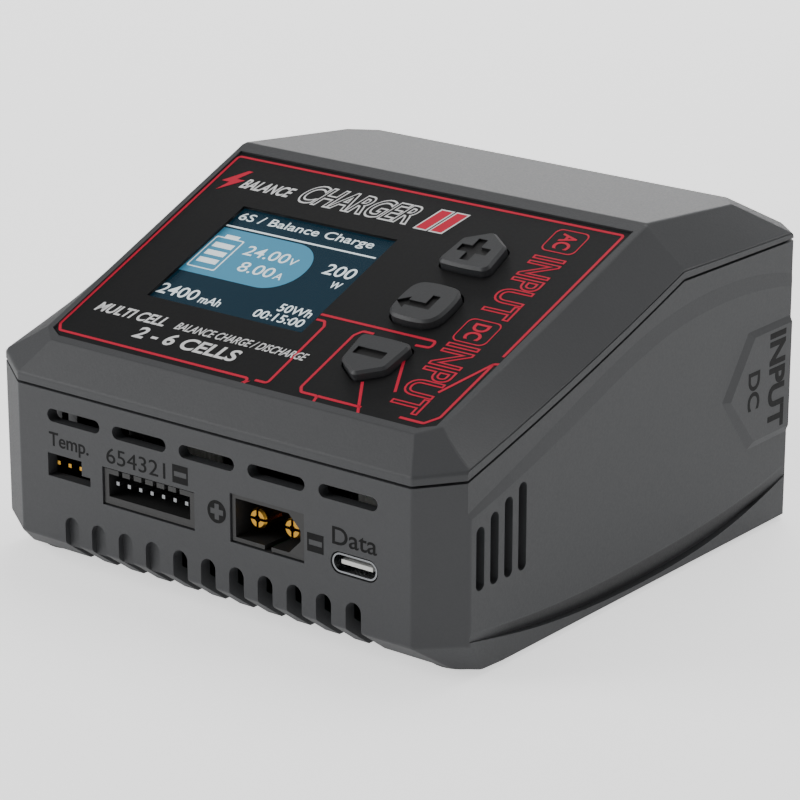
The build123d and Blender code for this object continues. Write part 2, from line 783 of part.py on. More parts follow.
with BuildPart() as lcd_glass:
    with BuildSketch(on_panel(glass_depth)):
        with Locations(window_center):
            Rectangle(*glass_size)
    extrude(amount=lcd_glass_thickness)
lcd_glass.part.label = "lcd_glass"
export_step(lcd_glass.part, "parts/lcd_glass.step")

with BuildPart() as lcd_frame:
    with BuildSketch(on_panel(frame_depth)):
        with Locations(window_center):
            Rectangle(glass_size[0] + 2 * lcd_frame_lap, glass_size[1] + 2 * lcd_frame_lap)
    extrude(amount=frame_depth - wall)
    with BuildSketch(on_panel(glass_depth)):
        with Locations(window_center):
            Rectangle(glass_size[0] + 2 * window_clearance, glass_size[1] + 2 * window_clearance)
    extrude(amount=glass_depth, mode=Mode.SUBTRACT)
lcd_frame.part.label = "lcd_frame"
export_step(lcd_frame.part, "parts/lcd_frame.step")

with BuildPart() as control_board:
    left, right, low, high = control_board_edges
    with BuildSketch(on_panel(control_board_depth + board_thickness)):
        with Locations(((left + right) / 2, (low + high) / 2)):
            RectangleRounded(right - left, high - low, 1.5)
        with Locations(*control_standoffs):
            Circle(board_screw_radius + screw_hole, mode=Mode.SUBTRACT)
    extrude(amount=board_thickness)
control_board.part.label = "control_board"
export_step(control_board.part, "parts/control_board.step")

with BuildPart() as control_board_screws:
    with BuildSketch(on_panel(control_board_depth + board_thickness + board_screw_head[1])):
        with Locations(*control_standoffs):
            Circle(board_screw_head[0])
    extrude(amount=board_screw_head[1])
    with BuildSketch(on_panel(control_board_depth + board_thickness)):
        with Locations(*control_standoffs):
            Circle(board_screw_radius)
    extrude(amount=board_thickness + control_screw_reach)
control_board_screws.part.label = "control_board_screws"
export_step(control_board_screws.part, "parts/control_board_screws.step")

switch_top = control_board_depth - switch_height
plunger_bore = 2.1              # depth of the bore in a switch body
with BuildPart() as switch_bodies:
    for kind in (-1, 0, 1):
        with BuildSketch(on_panel(control_board_depth)):
            with Locations((key_x, key_middle_v + kind * (key_pitch - pocket_shift))):
                Rectangle(switch_size, switch_size)
        extrude(amount=switch_height)
        with BuildSketch(on_panel(switch_top + plunger_bore)):
            with Locations((key_x, key_middle_v + kind * (key_pitch - pocket_shift))):
                Circle(plunger_diameter / 2 + plunger_clearance)
        extrude(amount=plunger_bore, mode=Mode.SUBTRACT)
switch_bodies.part.label = "switch_bodies"
export_step(switch_bodies.part, "parts/switch_bodies.step")


def enter_arrow():
    """A bent arrow: a bar with a short upright at its right end and a head at its left."""
    with BuildSketch() as sign:
        with Locations((-0.05, -1.2)):
            Rectangle(5.1, 1.4)
        with Locations((1.75, -0.1)):
            Rectangle(1.5, 3.6)
        with BuildLine():
            Polyline((-4.45, -1.2), (-2.35, 0.3), (-2.35, -2.7), close=True)
        make_face()
    return sign.sketch


def key_symbol(kind):
    if kind == 0:
        return enter_arrow()
    with BuildSketch() as sign:
        Rectangle(symbol_length, symbol_width)
        if kind > 0:
            Rectangle(symbol_width, symbol_length)
    return sign.sketch


def push_key(kind):
    """A key cap: pointed or square top, a flange under the cover and a pocket over its switch."""
    with BuildPart() as key:
        with BuildSketch(on_panel(wall + 0.1 + key_flange_thickness)):
            with Locations((key_x, key_middle_v + kind * key_pitch)):
                add(key_outline(kind, key_flange))
        extrude(amount=key_flange_thickness)
        with BuildSketch(on_panel(wall + 0.1 + key_flange_thickness)):
            with Locations((key_x, key_middle_v + kind * key_pitch)):
                add(key_outline(kind, 0))
        extrude(amount=wall + 0.1 + key_flange_thickness + key_proud)
        top = key.faces().sort_by(Axis(panel.origin, panel.z_dir))[-1]
        chamfer(top.edges(), length=key_chamfer)
        with BuildSketch(on_panel(-key_proud + symbol_depth)):
            with Locations((key_x + symbol_side, key_middle_v + kind * (key_pitch - symbol_shift))):
                add(key_symbol(kind))
        extrude(amount=symbol_depth + 1, mode=Mode.SUBTRACT)
        with BuildSketch(on_panel(wall + 0.1 + key_flange_thickness)):
            with Locations((key_x, key_middle_v + kind * (key_pitch - pocket_shift))):
                Rectangle(pocket_size, pocket_size)
        extrude(amount=wall + 0.1 + key_flange_thickness - pocket_depth, mode=Mode.SUBTRACT)
    return key.part


with BuildPart() as plus_button:
    add(push_key(1))
plus_button.part.label = "plus_button"
export_step(plus_button.part, "parts/plus_button.step")

with BuildPart() as enter_button:
    add(push_key(0))
enter_button.part.label = "enter_button"
export_step(enter_button.part, "parts/enter_button.step")

with BuildPart() as minus_button:
    add(push_key(-1))
minus_button.part.label = "minus_button"
export_step(minus_button.part, "parts/minus_button.step")


def plunger(kind):
    with BuildPart() as pin:
        with BuildSketch(on_panel(switch_top + plunger_bore - key_travel - 0.2)):
            with Locations((key_x, key_middle_v + kind * (key_pitch - pocket_shift))):
                Circle(plunger_diameter / 2)
        extrude(amount=switch_top + plunger_bore - key_travel - 0.2 - pocket_depth)
    return pin.part


with BuildPart() as plus_plunger:
    add(plunger(1))
plus_plunger.part.label = "plus_plunger"
export_step(plus_plunger.part, "parts/plus_plunger.step")

with BuildPart() as enter_plunger:
    add(plunger(0))
enter_plunger.part.label = "enter_plunger"
export_step(enter_plunger.part, "parts/enter_plunger.step")

with BuildPart() as minus_plunger:
    add(plunger(-1))
minus_plunger.part.label = "minus_plunger"
export_step(minus_plunger.part, "parts/minus_plunger.step")

# ---------------------------------------------------------------- main board and front sockets
with BuildPart() as main_board:
    depth = main_board_span[1] - main_board_span[0]
    with BuildSketch(level(main_board_top - board_thickness)):
        with spots([(0, main_board_span[0] + depth / 2)]):
            Rectangle(2 * main_board_half, depth)
        with spots(main_standoffs):
            Circle(board_screw_radius + screw_hole, mode=Mode.SUBTRACT)
    extrude(amount=board_thickness)
main_board.part.label = "main_board"
export_step(main_board.part, "parts/main_board.step")


def board_screw_set(top, places):
    """Pan-head screws standing on a board whose upper face is at this height."""
    with BuildPart() as screws:
        with BuildSketch(level(top)):
            with spots(places):
                Circle(board_screw_head[0])
        extrude(amount=board_screw_head[1])
        with BuildSketch(level(top - board_thickness - board_screw_reach + 0.3)):
            with spots(places):
                Circle(board_screw_radius)
        extrude(amount=board_thickness + board_screw_reach - 0.3)
    return screws.part


with BuildPart() as main_board_screws:
    add(board_screw_set(main_board_top, main_standoffs))
main_board_screws.part.label = "main_board_screws"
export_step(main_board_screws.part, "parts/main_board_screws.step")

balance_body_top = main_board_top + balance_body[1]
balance_pin_height = main_board_top + 3.6
with BuildPart() as balance_socket:
    with BuildSketch(across(socket_front)):
        with Locations((balance_center_x, main_board_top + balance_body[1] / 2)):
            Rectangle(*balance_body)
    extrude(amount=-balance_length)
    with BuildSketch(across(socket_front)):
        with Locations((balance_center_x, main_board_top + balance_floor + balance_cavity[1] / 2)):
            Rectangle(*balance_cavity)
    extrude(amount=-balance_cavity_depth, mode=Mode.SUBTRACT)
    with BuildSketch(across(socket_front)):
        with Locations((balance_center_x, balance_body_top)):
            with GridLocations(balance_pin_pitch, 1, balance_pin_count - 1, 1):
                Rectangle(balance_notch, 2 * (balance_body[1] - balance_floor - balance_cavity[1]))
    extrude(amount=-balance_notch_length, mode=Mode.SUBTRACT)
    with BuildSketch(across(socket_front)):
        with Locations((balance_center_x, balance_pin_height)):
            with GridLocations(balance_pin_pitch, 1, balance_pin_count, 1):
                Rectangle(square_pin + 2 * pin_clearance, square_pin + 2 * pin_clearance)
    extrude(amount=-balance_length, mode=Mode.SUBTRACT)
balance_socket.part.label = "balance_socket"
export_step(balance_socket.part, "parts/balance_socket.step")


def square_pins(center_x, height, count, tip, bend, size):
    """Bent square pins in a row: from the tip straight back, then down to the board."""
    with BuildPart() as pins:
        with BuildSketch(across(tip)):
            with Locations((center_x, height)):
                with GridLocations(balance_pin_pitch, 1, count, 1):
                    Rectangle(size, size)
        extrude(amount=tip - bend - size)
        with BuildSketch(level(main_board_top)):
            with Locations((center_x, front_y + bend + size / 2)):
                with GridLocations(balance_pin_pitch, 1, count, 1):
                    Rectangle(size, size)
        extrude(amount=height - main_board_top)
    return pins.part


with BuildPart() as balance_pins:
    add(square_pins(balance_center_x, balance_pin_height, balance_pin_count, balance_pin_tip,
                    socket_front + balance_length + 0.4, square_pin))
balance_pins.part.label = "balance_pins"
export_step(balance_pins.part, "parts/balance_pins.step")


def power_socket(center_x, base, mouth, length, direction):
    """A two-pole power socket: mouth is its open end, direction is 1 when it faces the front."""
    middle = base + socket_height / 2
    with BuildPart() as socket:
        with BuildSketch(across(mouth)):
            with Locations((center_x, middle)):
                Rectangle(socket_width, socket_height)
        extrude(amount=-direction * length)
        with BuildSketch(across(mouth)):
            with Locations((center_x, middle)):
                Polygon(*port_outline(socket_width - 2 * socket_rim, socket_height - 2 * socket_rim,
                                      socket_corner), align=None)
            with Locations((center_x, base + socket_rim / 2)):
                Rectangle(socket_key, socket_rim)
        extrude(amount=-direction * (length - socket_back), mode=Mode.SUBTRACT)
        with BuildSketch(across(mouth)):
            with Locations((center_x, middle)):
                with GridLocations(output_pin_pitch, 1, 2, 1):
                    Circle(output_pin_diameter / 2 + pin_clearance)
        extrude(amount=-direction * length, mode=Mode.SUBTRACT)
    return socket.part


def power_pins(center_x, base, tip, end, direction):
    """Two split bullet pins with legs that go down to the board behind the socket."""
    middle = base + socket_height / 2
    with BuildPart() as pins:
        with BuildSketch(across(tip)):
            with Locations((center_x, middle)):
                with GridLocations(output_pin_pitch, 1, 2, 1):
                    Circle(output_pin_diameter / 2)
        extrude(amount=tip - end)
        chamfer(pins.faces().sort_by(Axis.Y)[:2].edges() if direction > 0
                else pins.faces().sort_by(Axis.Y)[-2:].edges(), length=0.35)
        with BuildSketch(level(base)):
            with Locations((center_x, front_y + end - direction * pin_leg / 2)):
                with GridLocations(output_pin_pitch, 1, 2, 1):
                    Rectangle(pin_leg, pin_leg)
        extrude(amount=socket_height / 2)
        with BuildSketch(across(tip)):
            with Locations((center_x, middle)):
                with GridLocations(output_pin_pitch, 1, 2, 1):
                    Circle(bullet_hole / 2)
                    Rectangle(output_pin_diameter, bullet_slit)
                    Rectangle(bullet_slit, output_pin_diameter)
        extrude(amount=-direction * bullet_split, mode=Mode.SUBTRACT)
    return pins.part


with BuildPart() as output_socket:
    add(power_socket(output_center_x, main_board_top, socket_front, output_length, 1))
output_socket.part.label = "output_socket"
export_step(output_socket.part, "parts/output_socket.step")

with BuildPart() as output_pins:
    add(power_pins(output_center_x, main_board_top, output_pin_tip,
                   socket_front + output_length + pin_leg + 0.3, 1))
output_pins.part.label = "output_pins"
export_step(output_pins.part, "parts/output_pins.step")

temp_pin_height = main_board_top + 4.2
with BuildPart() as temp_socket:
    left, right, top = temp_body
    with BuildSketch(across(wall + 0.1)):
        with Locations(((left + right) / 2, (main_board_top + top) / 2)):
            Rectangle(right - left, top - main_board_top)
    extrude(amount=-temp_length)
    with BuildSketch(across(wall + 0.1)):
        with Locations(((left + right) / 2, (main_board_top + top) / 2)):
            Rectangle(right - left - 2 * temp_rim, top - main_board_top - 2 * temp_rim)
    extrude(amount=-(temp_length - 2), mode=Mode.SUBTRACT)
    with BuildSketch(across(wall + 0.1)):
        with Locations((temp_pin_x, temp_pin_height)):
            with GridLocations(balance_pin_pitch, 1, 3, 1):
                Rectangle(square_pin + 2 * pin_clearance, square_pin + 2 * pin_clearance)
    extrude(amount=-temp_length, mode=Mode.SUBTRACT)
temp_socket.part.label = "temp_socket"
export_step(temp_socket.part, "parts/temp_socket.step")

with BuildPart() as temp_pins:
    add(square_pins(temp_pin_x, temp_pin_height, 3, temp_pin_tip, wall + temp_length + 0.5, square_pin))
temp_pins.part.label = "temp_pins"
export_step(temp_pins.part, "parts/temp_pins.step")

with BuildPart() as usb_shell:
    with BuildSketch(across(usb_front)):
        with Locations((usb_center_x, main_board_top + usb_size[1] / 2)):
            SlotOverall(*usb_size)
    extrude(amount=-usb_length)
    with BuildSketch(across(usb_front)):
        with Locations((usb_center_x, main_board_top + usb_size[1] / 2)):
            SlotOverall(usb_size[0] - 2 * usb_wall, usb_size[1] - 2 * usb_wall)
    extrude(amount=-(usb_length - usb_back), mode=Mode.SUBTRACT)
usb_shell.part.label = "usb_shell"
export_step(usb_shell.part, "parts/usb_shell.step")

with BuildPart() as usb_tongue:
    with BuildSketch(across(usb_front + 0.6)):
        with Locations((usb_center_x, main_board_top + usb_size[1] / 2)):
            Rectangle(usb_tongue_size[0], usb_tongue_size[1])
    extrude(amount=-(usb_length - usb_back - 0.6))
usb_tongue.part.label = "usb_tongue"
export_step(usb_tongue.part, "parts/usb_tongue.step")

# ---------------------------------------------------------------- parts on the main board
sink_size = (40.0, 28.0, 11.5)
sink_middle = 36.5
sink_base = 2.2
sink_fin = 1.4
sink_fin_count = 9
transistor_size = (9.6, 13.0, 1.7)
transistor_pitch = (12.0, 14.0)
inductor_size = (12.0, 12.0, 8.0)
inductor_spots = [(-28.5, 24.3), (28.5, 30.0)]
inductor_waist = 1.0
capacitor_radius = 4.0
capacitor_height = 12.0
capacitor_spots = [(-28.5, 34.6), (26.5, 41.0), (26.5, 50.2)]
chip_spot = (28.0, 19.0)
chip_size = (8.0, 8.0, 1.1)
chip_leg = 0.35
chip_leg_pitch = 0.8
buzzer_spot = (-28.0, 45.2)
buzzer_radius = 6.0
buzzer_height = 8.5
lead_plug_spot = (25.4, 10.0)
lead_plug_size = (1.4, 4.0, 10.4)
ribbon_x = -16.0
ribbon_socket_size = (12.0, 3.4, 4.0)
ribbon_socket_distance = 16.6
ribbon_socket_v = -46.0
ribbon_width = 10.0
ribbon_thickness = 0.4

with BuildPart() as power_transistors:
    with BuildSketch(level(main_board_top)):
        with Locations((0, front_y + sink_middle)):
            with GridLocations(transistor_pitch[0], transistor_pitch[1], 3, 2):
                Rectangle(transistor_size[0], transistor_size[1])
    extrude(amount=transistor_size[2])
power_transistors.part.label = "power_transistors"
export_step(power_transistors.part, "parts/power_transistors.step")

with BuildPart() as heat_sink:
    sink_floor = main_board_top + transistor_size[2]
    with BuildSketch(level(sink_floor)):
        with spots([(0, sink_middle)]):
            Rectangle(sink_size[0], sink_size[1])
    extrude(amount=sink_base)
    with BuildSketch(level(sink_floor)):
        with Locations((0, front_y + sink_middle)):
            with GridLocations((sink_size[0] - sink_fin) / (sink_fin_count - 1), 1, sink_fin_count, 1):
                Rectangle(sink_fin, sink_size[1])
    extrude(amount=sink_size[2])
heat_sink.part.label = "heat_sink"
export_step(heat_sink.part, "parts/heat_sink.step")

with BuildPart() as power_inductors:
    with BuildSketch(level(main_board_top)):
        with spots(inductor_spots):
            RectangleRounded(inductor_size[0], inductor_size[1], 1.5)
    extrude(amount=inductor_size[2])
    with BuildSketch(level(main_board_top + inductor_size[2] - inductor_waist)):
        with spots(inductor_spots):
            Circle(inductor_size[0] / 2 - inductor_waist)
            Circle(inductor_size[0] / 2 - 2.5 * inductor_waist, mode=Mode.SUBTRACT)
    extrude(amount=inductor_waist, mode=Mode.SUBTRACT)
power_inductors.part.label = "power_inductors"
export_step(power_inductors.part, "parts/power_inductors.step")


def can_profile(radius, base, height):
    """Half outline of an aluminium can: a groove near its foot and a small rim on top."""
    groove = 0.06 * radius + 0.2
    top = base + height
    return [(0, base), (radius, base), (radius, base + 1.2), (radius - groove, base + 1.8),
            (radius, base + 2.4), (radius, top - 0.4), (radius - 0.4, top), (0, top)]


with BuildPart() as board_capacitors:
    for x, distance in capacitor_spots:
        add(turned_upright(x, distance, can_profile(capacitor_radius, main_board_top, capacitor_height)))
board_capacitors.part.label = "board_capacitors"
export_step(board_capacitors.part, "parts/board_capacitors.step")

with BuildPart() as controller_chip:
    with BuildSketch(level(main_board_top + 0.1)):
        with spots([chip_spot]):
            Rectangle(chip_size[0], chip_size[1])
    extrude(amount=chip_size[2])
    with BuildSketch(level(main_board_top)):
        with Locations((chip_spot[0], front_y + chip_spot[1])):
            with GridLocations(chip_leg_pitch, 1, 8, 1):
                Rectangle(chip_leg, chip_size[1] + 2)
            with GridLocations(1, chip_leg_pitch, 1, 8):
                Rectangle(chip_size[0] + 2, chip_leg)
    extrude(amount=chip_leg)
controller_chip.part.label = "controller_chip"
export_step(controller_chip.part, "parts/controller_chip.step")

with BuildPart() as buzzer:
    with BuildSketch(level(main_board_top)):
        with spots([buzzer_spot]):
            Circle(buzzer_radius)
    extrude(amount=buzzer_height)
    with BuildSketch(level(main_board_top + buzzer_height - 3)):
        with spots([buzzer_spot]):
            Circle(1.2)
    extrude(amount=3, mode=Mode.SUBTRACT)
buzzer.part.label = "buzzer"
export_step(buzzer.part, "parts/buzzer.step")

with BuildPart() as lead_plug:
    with BuildSketch(level(main_board_top)):
        with spots([lead_plug_spot]):
            Rectangle(lead_plug_size[0], lead_plug_size[1])
    extrude(amount=lead_plug_size[2])
lead_plug.part.label = "lead_plug"
export_step(lead_plug.part, "parts/lead_plug.step")

# The flat cable runs in the plane of distance and height, between its two sockets.
socket_slot = (ribbon_width + 0.6, 0.9, 2.0)    # mouth of each socket: width, thickness, depth
control_socket_depth = control_board_depth + board_thickness + ribbon_socket_size[2]


def panel_point(v, depth):
    """Distance and height of a point up the panel's slope, this deep under it."""
    return (panel_top[0] + v * math.cos(tilt) + depth * math.sin(tilt),
            panel_top[1] + v * math.sin(tilt) - depth * math.cos(tilt))


with BuildPart() as ribbon_sockets:
    with BuildSketch(level(main_board_top)):
        with spots([(ribbon_x, ribbon_socket_distance)]):
            Rectangle(ribbon_socket_size[0], ribbon_socket_size[1])
    extrude(amount=ribbon_socket_size[2])
    with BuildSketch(level(main_board_top + ribbon_socket_size[2] - socket_slot[2])):
        with spots([(ribbon_x, ribbon_socket_distance)]):
            Rectangle(socket_slot[0], socket_slot[1])
    extrude(amount=socket_slot[2], mode=Mode.SUBTRACT)
    with BuildSketch(on_panel(control_socket_depth)):
        with Locations((ribbon_x, ribbon_socket_v)):
            Rectangle(ribbon_socket_size[0], ribbon_socket_size[1])
    extrude(amount=ribbon_socket_size[2])
    with BuildSketch(on_panel(control_socket_depth)):
        with Locations((ribbon_x, ribbon_socket_v)):
            Rectangle(socket_slot[0], socket_slot[1])
    extrude(amount=socket_slot[2], mode=Mode.SUBTRACT)
ribbon_sockets.part.label = "ribbon_sockets"
export_step(ribbon_sockets.part, "parts/ribbon_sockets.step")

with BuildPart() as ribbon_cable:
    foot = (ribbon_socket_distance, main_board_top + ribbon_socket_size[2] - socket_slot[2] + 0.2)
    rise = (ribbon_socket_distance, main_board_top + ribbon_socket_size[2] + 2)
    drop = panel_point(ribbon_socket_v, control_socket_depth + 2)
    head = panel_point(ribbon_socket_v, control_socket_depth - socket_slot[2] + 0.2)
    with BuildSketch(Plane(origin=at(ribbon_x - ribbon_width / 2, 0, 0), x_dir=(0, 1, 0), z_dir=(1, 0, 0))):
        with BuildLine():
            start = Line(foot, rise)
            bow = Spline(rise, drop, tangents=[(0, 1), (head[0] - drop[0], head[1] - drop[1])])
            Line(drop, head)
        trace(line_width=ribbon_thickness)
    extrude(amount=ribbon_width)
ribbon_cable.part.label = "ribbon_cable"
export_step(ribbon_cable.part, "parts/ribbon_cable.step")

# ---------------------------------------------------------------- power board
core_size = (26.0, 12.0, 20.0)
core_middle = (1.0, 71.0)
core_leg = 8.0
core_window = (4.8, 13.0)
winding_size = (16.6, 18.6)
winding_gap = 0.1
bulk_radius = 9.0
bulk_height = 25.0
bulk_spot = (-26.5, 73.2)
bridge_size = (15.0, 3.4, 11.0)
bridge_spot = (-28.0, 84.5)
x_capacitor_size = (13.0, 5.0, 11.0)
x_capacitor_spot = (-6.0, 84.0)
fuse_length = 18.0
fuse_radius = 2.3
fuse_cap_length = 4.5
fuse_left = -30.5
fuse_distance = 60.8
power_sink_x = 22.0
power_sink_span = (66.0, 80.0)
power_sink_height = 24.0
power_sink_plate = 2.4
power_sink_fin = (6.4, 1.4)
power_sink_fin_count = 5
rectifier_size = (4.4, 10.0, 15.0)

with BuildPart() as power_board:
    left, right, end = power_tongue
    depth = power_board_span[1] - power_board_span[0]
    with BuildSketch(level(power_board_top - board_thickness)):
        with spots([(0, power_board_span[0] + depth / 2)]):
            Rectangle(2 * main_board_half, depth)
        with spots([((left + right) / 2, (power_board_span[0] + end) / 2)]):
            Rectangle(right - left, end - power_board_span[0])
        with spots(power_standoffs):
            Circle(board_screw_radius + screw_hole, mode=Mode.SUBTRACT)
    extrude(amount=board_thickness)
power_board.part.label = "power_board"
export_step(power_board.part, "parts/power_board.step")

with BuildPart() as power_board_screws:
    add(board_screw_set(power_board_top, power_standoffs))
power_board_screws.part.label = "power_board_screws"
export_step(power_board_screws.part, "parts/power_board_screws.step")

core_window_middle = power_board_top + core_size[2] / 2
with BuildPart() as transformer_core:
    with BuildSketch(across(core_middle[1] - core_size[1] / 2)):
        with Locations((core_middle[0], core_window_middle)):
            Rectangle(core_size[0], core_size[2])
            with GridLocations(core_leg + core_window[0], 1, 2, 1):
                Rectangle(*core_window, mode=Mode.SUBTRACT)
    extrude(amount=-core_size[1])
transformer_core.part.label = "transformer_core"
export_step(transformer_core.part, "parts/transformer_core.step")

with BuildPart() as transformer_winding:
    with BuildSketch(level(core_window_middle - core_window[1] / 2 + winding_gap)):
        with spots([core_middle]):
            RectangleRounded(winding_size[0], winding_size[1], 2.0)
            Rectangle(core_leg + 2 * winding_gap, core_size[1] + 2 * winding_gap, mode=Mode.SUBTRACT)
    extrude(amount=core_window[1] - 2 * winding_gap)
transformer_winding.part.label = "transformer_winding"
export_step(transformer_winding.part, "parts/transformer_winding.step")

with BuildPart() as bulk_capacitor:
    add(turned_upright(*bulk_spot, can_profile(bulk_radius, power_board_top, bulk_height)))
bulk_capacitor.part.label = "bulk_capacitor"
export_step(bulk_capacitor.part, "parts/bulk_capacitor.step")


def upright_block(place, size):
    with BuildPart() as block:
        with BuildSketch(level(power_board_top)):
            with spots([place]):
                Rectangle(size[0], size[1])
        extrude(amount=size[2])
        chamfer(block.edges().group_by(Axis.Z)[-1], length=0.5)
    return block.part


with BuildPart() as bridge_rectifier:
    add(upright_block(bridge_spot, bridge_size))
bridge_rectifier.part.label = "bridge_rectifier"
export_step(bridge_rectifier.part, "parts/bridge_rectifier.step")

with BuildPart() as x_capacitor:
    add(upright_block(x_capacitor_spot, x_capacitor_size))
x_capacitor.part.label = "x_capacitor"
export_step(x_capacitor.part, "parts/x_capacitor.step")

fuse_plane = Plane(origin=at(fuse_left, fuse_distance, power_board_top + fuse_radius + 0.4),
                   x_dir=(0, 1, 0), z_dir=(1, 0, 0))
with BuildPart() as fuse_tube:
    with BuildSketch(fuse_plane.offset(fuse_cap_length)):
        Circle(fuse_radius - 0.3)
        Circle(fuse_radius - 0.9, mode=Mode.SUBTRACT)
    extrude(amount=fuse_length - 2 * fuse_cap_length)
fuse_tube.part.label = "fuse_tube"
export_step(fuse_tube.part, "parts/fuse_tube.step")

with BuildPart() as fuse_caps:
    for start in (0, fuse_length - fuse_cap_length):
        with BuildSketch(fuse_plane.offset(start)):
            Circle(fuse_radius)
            with Locations((0, -fuse_radius / 2 - 0.2)):
                Rectangle(fuse_radius, fuse_radius + 0.4)
        extrude(amount=fuse_cap_length)
fuse_caps.part.label = "fuse_caps"
export_step(fuse_caps.part, "parts/fuse_caps.step")

with BuildPart() as power_heat_sink:
    low, high = power_sink_span
    with BuildSketch(level(power_board_top)):
        with spots([(power_sink_x + power_sink_plate / 2, (low + high) / 2)]):
            Rectangle(power_sink_plate, high - low)
        reach = power_sink_plate + power_sink_fin[0]
        pitch = (high - low - power_sink_fin[1]) / (power_sink_fin_count - 1)
        with Locations((power_sink_x + reach / 2, front_y + (low + high) / 2)):
            with GridLocations(1, pitch, 1, power_sink_fin_count):
                Rectangle(reach, power_sink_fin[1])
    extrude(amount=power_sink_height)
power_heat_sink.part.label = "power_heat_sink"
export_step(power_heat_sink.part, "parts/power_heat_sink.step")

with BuildPart() as rectifier:
    with BuildSketch(level(power_board_top)):
        with spots([(power_sink_x - rectifier_size[0] / 2, sum(power_sink_span) / 2)]):
            Rectangle(rectifier_size[0], rectifier_size[1])
    extrude(amount=rectifier_size[2])
rectifier.part.label = "rectifier"
export_step(rectifier.part, "parts/rectifier.step")

# ---------------------------------------------------------------- rear inlets
ac_mouth = case_depth - 0.2
ac_length = ac_mouth - power_board_span[1] - 0.1
ac_cavity = (14.8, 8.4)
ac_cavity_depth = 12.0
ac_pin_radius = 1.18
ac_pin_pitch = 8.6
ac_pin_recess = 2.5
ac_middle = power_board_top + ac_size[1] / 2

with BuildPart() as ac_inlet:
    with BuildSketch(across(ac_mouth)):
        with Locations((ac_center_x, ac_middle)):
            RectangleRounded(ac_size[0], ac_size[1], 1.2)
    extrude(amount=ac_length)
    with BuildSketch(across(ac_mouth)):
        with Locations((ac_center_x, ac_middle)):
            SlotOverall(*ac_cavity)
    extrude(amount=ac_cavity_depth, mode=Mode.SUBTRACT)
    with BuildSketch(across(ac_mouth)):
        with Locations((ac_center_x, ac_middle)):
            with GridLocations(ac_pin_pitch, 1, 2, 1):
                Circle(ac_pin_radius + pin_clearance)
    extrude(amount=ac_length, mode=Mode.SUBTRACT)
ac_inlet.part.label = "ac_inlet"
export_step(ac_inlet.part, "parts/ac_inlet.step")

with BuildPart() as ac_pins:
    with BuildSketch(across(ac_mouth - ac_pin_recess)):
        with Locations((ac_center_x, ac_middle)):
            with GridLocations(ac_pin_pitch, 1, 2, 1):
                Circle(ac_pin_radius)
    extrude(amount=ac_length - ac_pin_recess)
    fillet(ac_pins.faces().sort_by(Axis.Y)[-2:].edges(), radius=0.7)
ac_pins.part.label = "ac_pins"
export_step(ac_pins.part, "parts/ac_pins.step")

with BuildPart() as dc_inlet:
    add(power_socket(dc_center_x, power_board_top, case_depth - 0.2, output_length - 0.4, -1))
dc_inlet.part.label = "dc_inlet"
export_step(dc_inlet.part, "parts/dc_inlet.step")

with BuildPart() as dc_pins:
    add(power_pins(dc_center_x, power_board_top, case_depth - 0.2 - output_pin_tip,
                   case_depth - output_length - pin_leg - 0.1, -1))
dc_pins.part.label = "dc_pins"
export_step(dc_pins.part, "parts/dc_pins.step")

# ---------------------------------------------------------------- fan
fan_x, fan_z = fan_center
fan_front = fan_face - fan_thickness
hub_plate = 1.5                 # thickness of the motor plate and its struts
strut_width = 2.4
tube_radius = 3.2
tube_bore = 2.2
rotor_front = fan_front + 0.5
rotor_length = fan_thickness - hub_plate - 1.1
hub_wall = 0.8
magnet_wall = 0.7
stator_radius = 8.4
stator_span = (3.0, 7.0)        # ends of the stator, back from the rotor's face
blade_chord = (8.0, 6.4)        # across and along the axis
blade_bow = 1.3
blade_width = 0.9

with BuildPart() as fan_frame:
    with BuildSketch(across(fan_front)):
        with Locations((fan_x, fan_z)):
            RectangleRounded(fan_size, fan_size, 3.0)
            Circle(fan_bore / 2, mode=Mode.SUBTRACT)
            with GridLocations(fan_hole_pitch, fan_hole_pitch, 2, 2):
                Circle(fan_screw_radius + screw_hole, mode=Mode.SUBTRACT)
    extrude(amount=-fan_thickness)
    with BuildSketch(across(fan_face)):
        with Locations((fan_x, fan_z)):
            Circle(hub_diameter / 2)
            for turn in (0, 90):
                Rectangle(fan_size - 1, strut_width, rotation=turn)
    extrude(amount=hub_plate)
    with BuildSketch(across(fan_face)):
        with Locations((fan_x, fan_z)):
            Circle(tube_radius)
    extrude(amount=fan_thickness - 2.6)
    with BuildSketch(across(fan_face - 0.8)):
        with Locations((fan_x, fan_z)):
            Circle(tube_bore)
    extrude(amount=fan_thickness, mode=Mode.SUBTRACT)
fan_frame.part.label = "fan_frame"
export_step(fan_frame.part, "parts/fan_frame.step")

bearing_span = (fan_face - 0.8 - 0.1, fan_face - fan_thickness + 2.8)
with BuildPart() as fan_bearing:
    with BuildSketch(across(bearing_span[0])):
        with Locations((fan_x, fan_z)):
            Circle(tube_bore - 0.02)
            Circle(fan_shaft_diameter / 2 + fan_shaft_clearance, mode=Mode.SUBTRACT)
    extrude(amount=bearing_span[0] - bearing_span[1])
fan_bearing.part.label = "fan_bearing"
export_step(fan_bearing.part, "parts/fan_bearing.step")

with BuildPart() as fan_stator:
    with BuildSketch(across(rotor_front + stator_span[0])):
        with Locations((fan_x, fan_z)):
            Circle(stator_radius)
            with PolarLocations(stator_radius - 1.6, 4, start_angle=45):
                SlotOverall(6.4, 2.2, mode=Mode.SUBTRACT)
            Circle(tube_radius + 0.02, mode=Mode.SUBTRACT)
    extrude(amount=stator_span[0] - stator_span[1])
fan_stator.part.label = "fan_stator"
export_step(fan_stator.part, "parts/fan_stator.step")

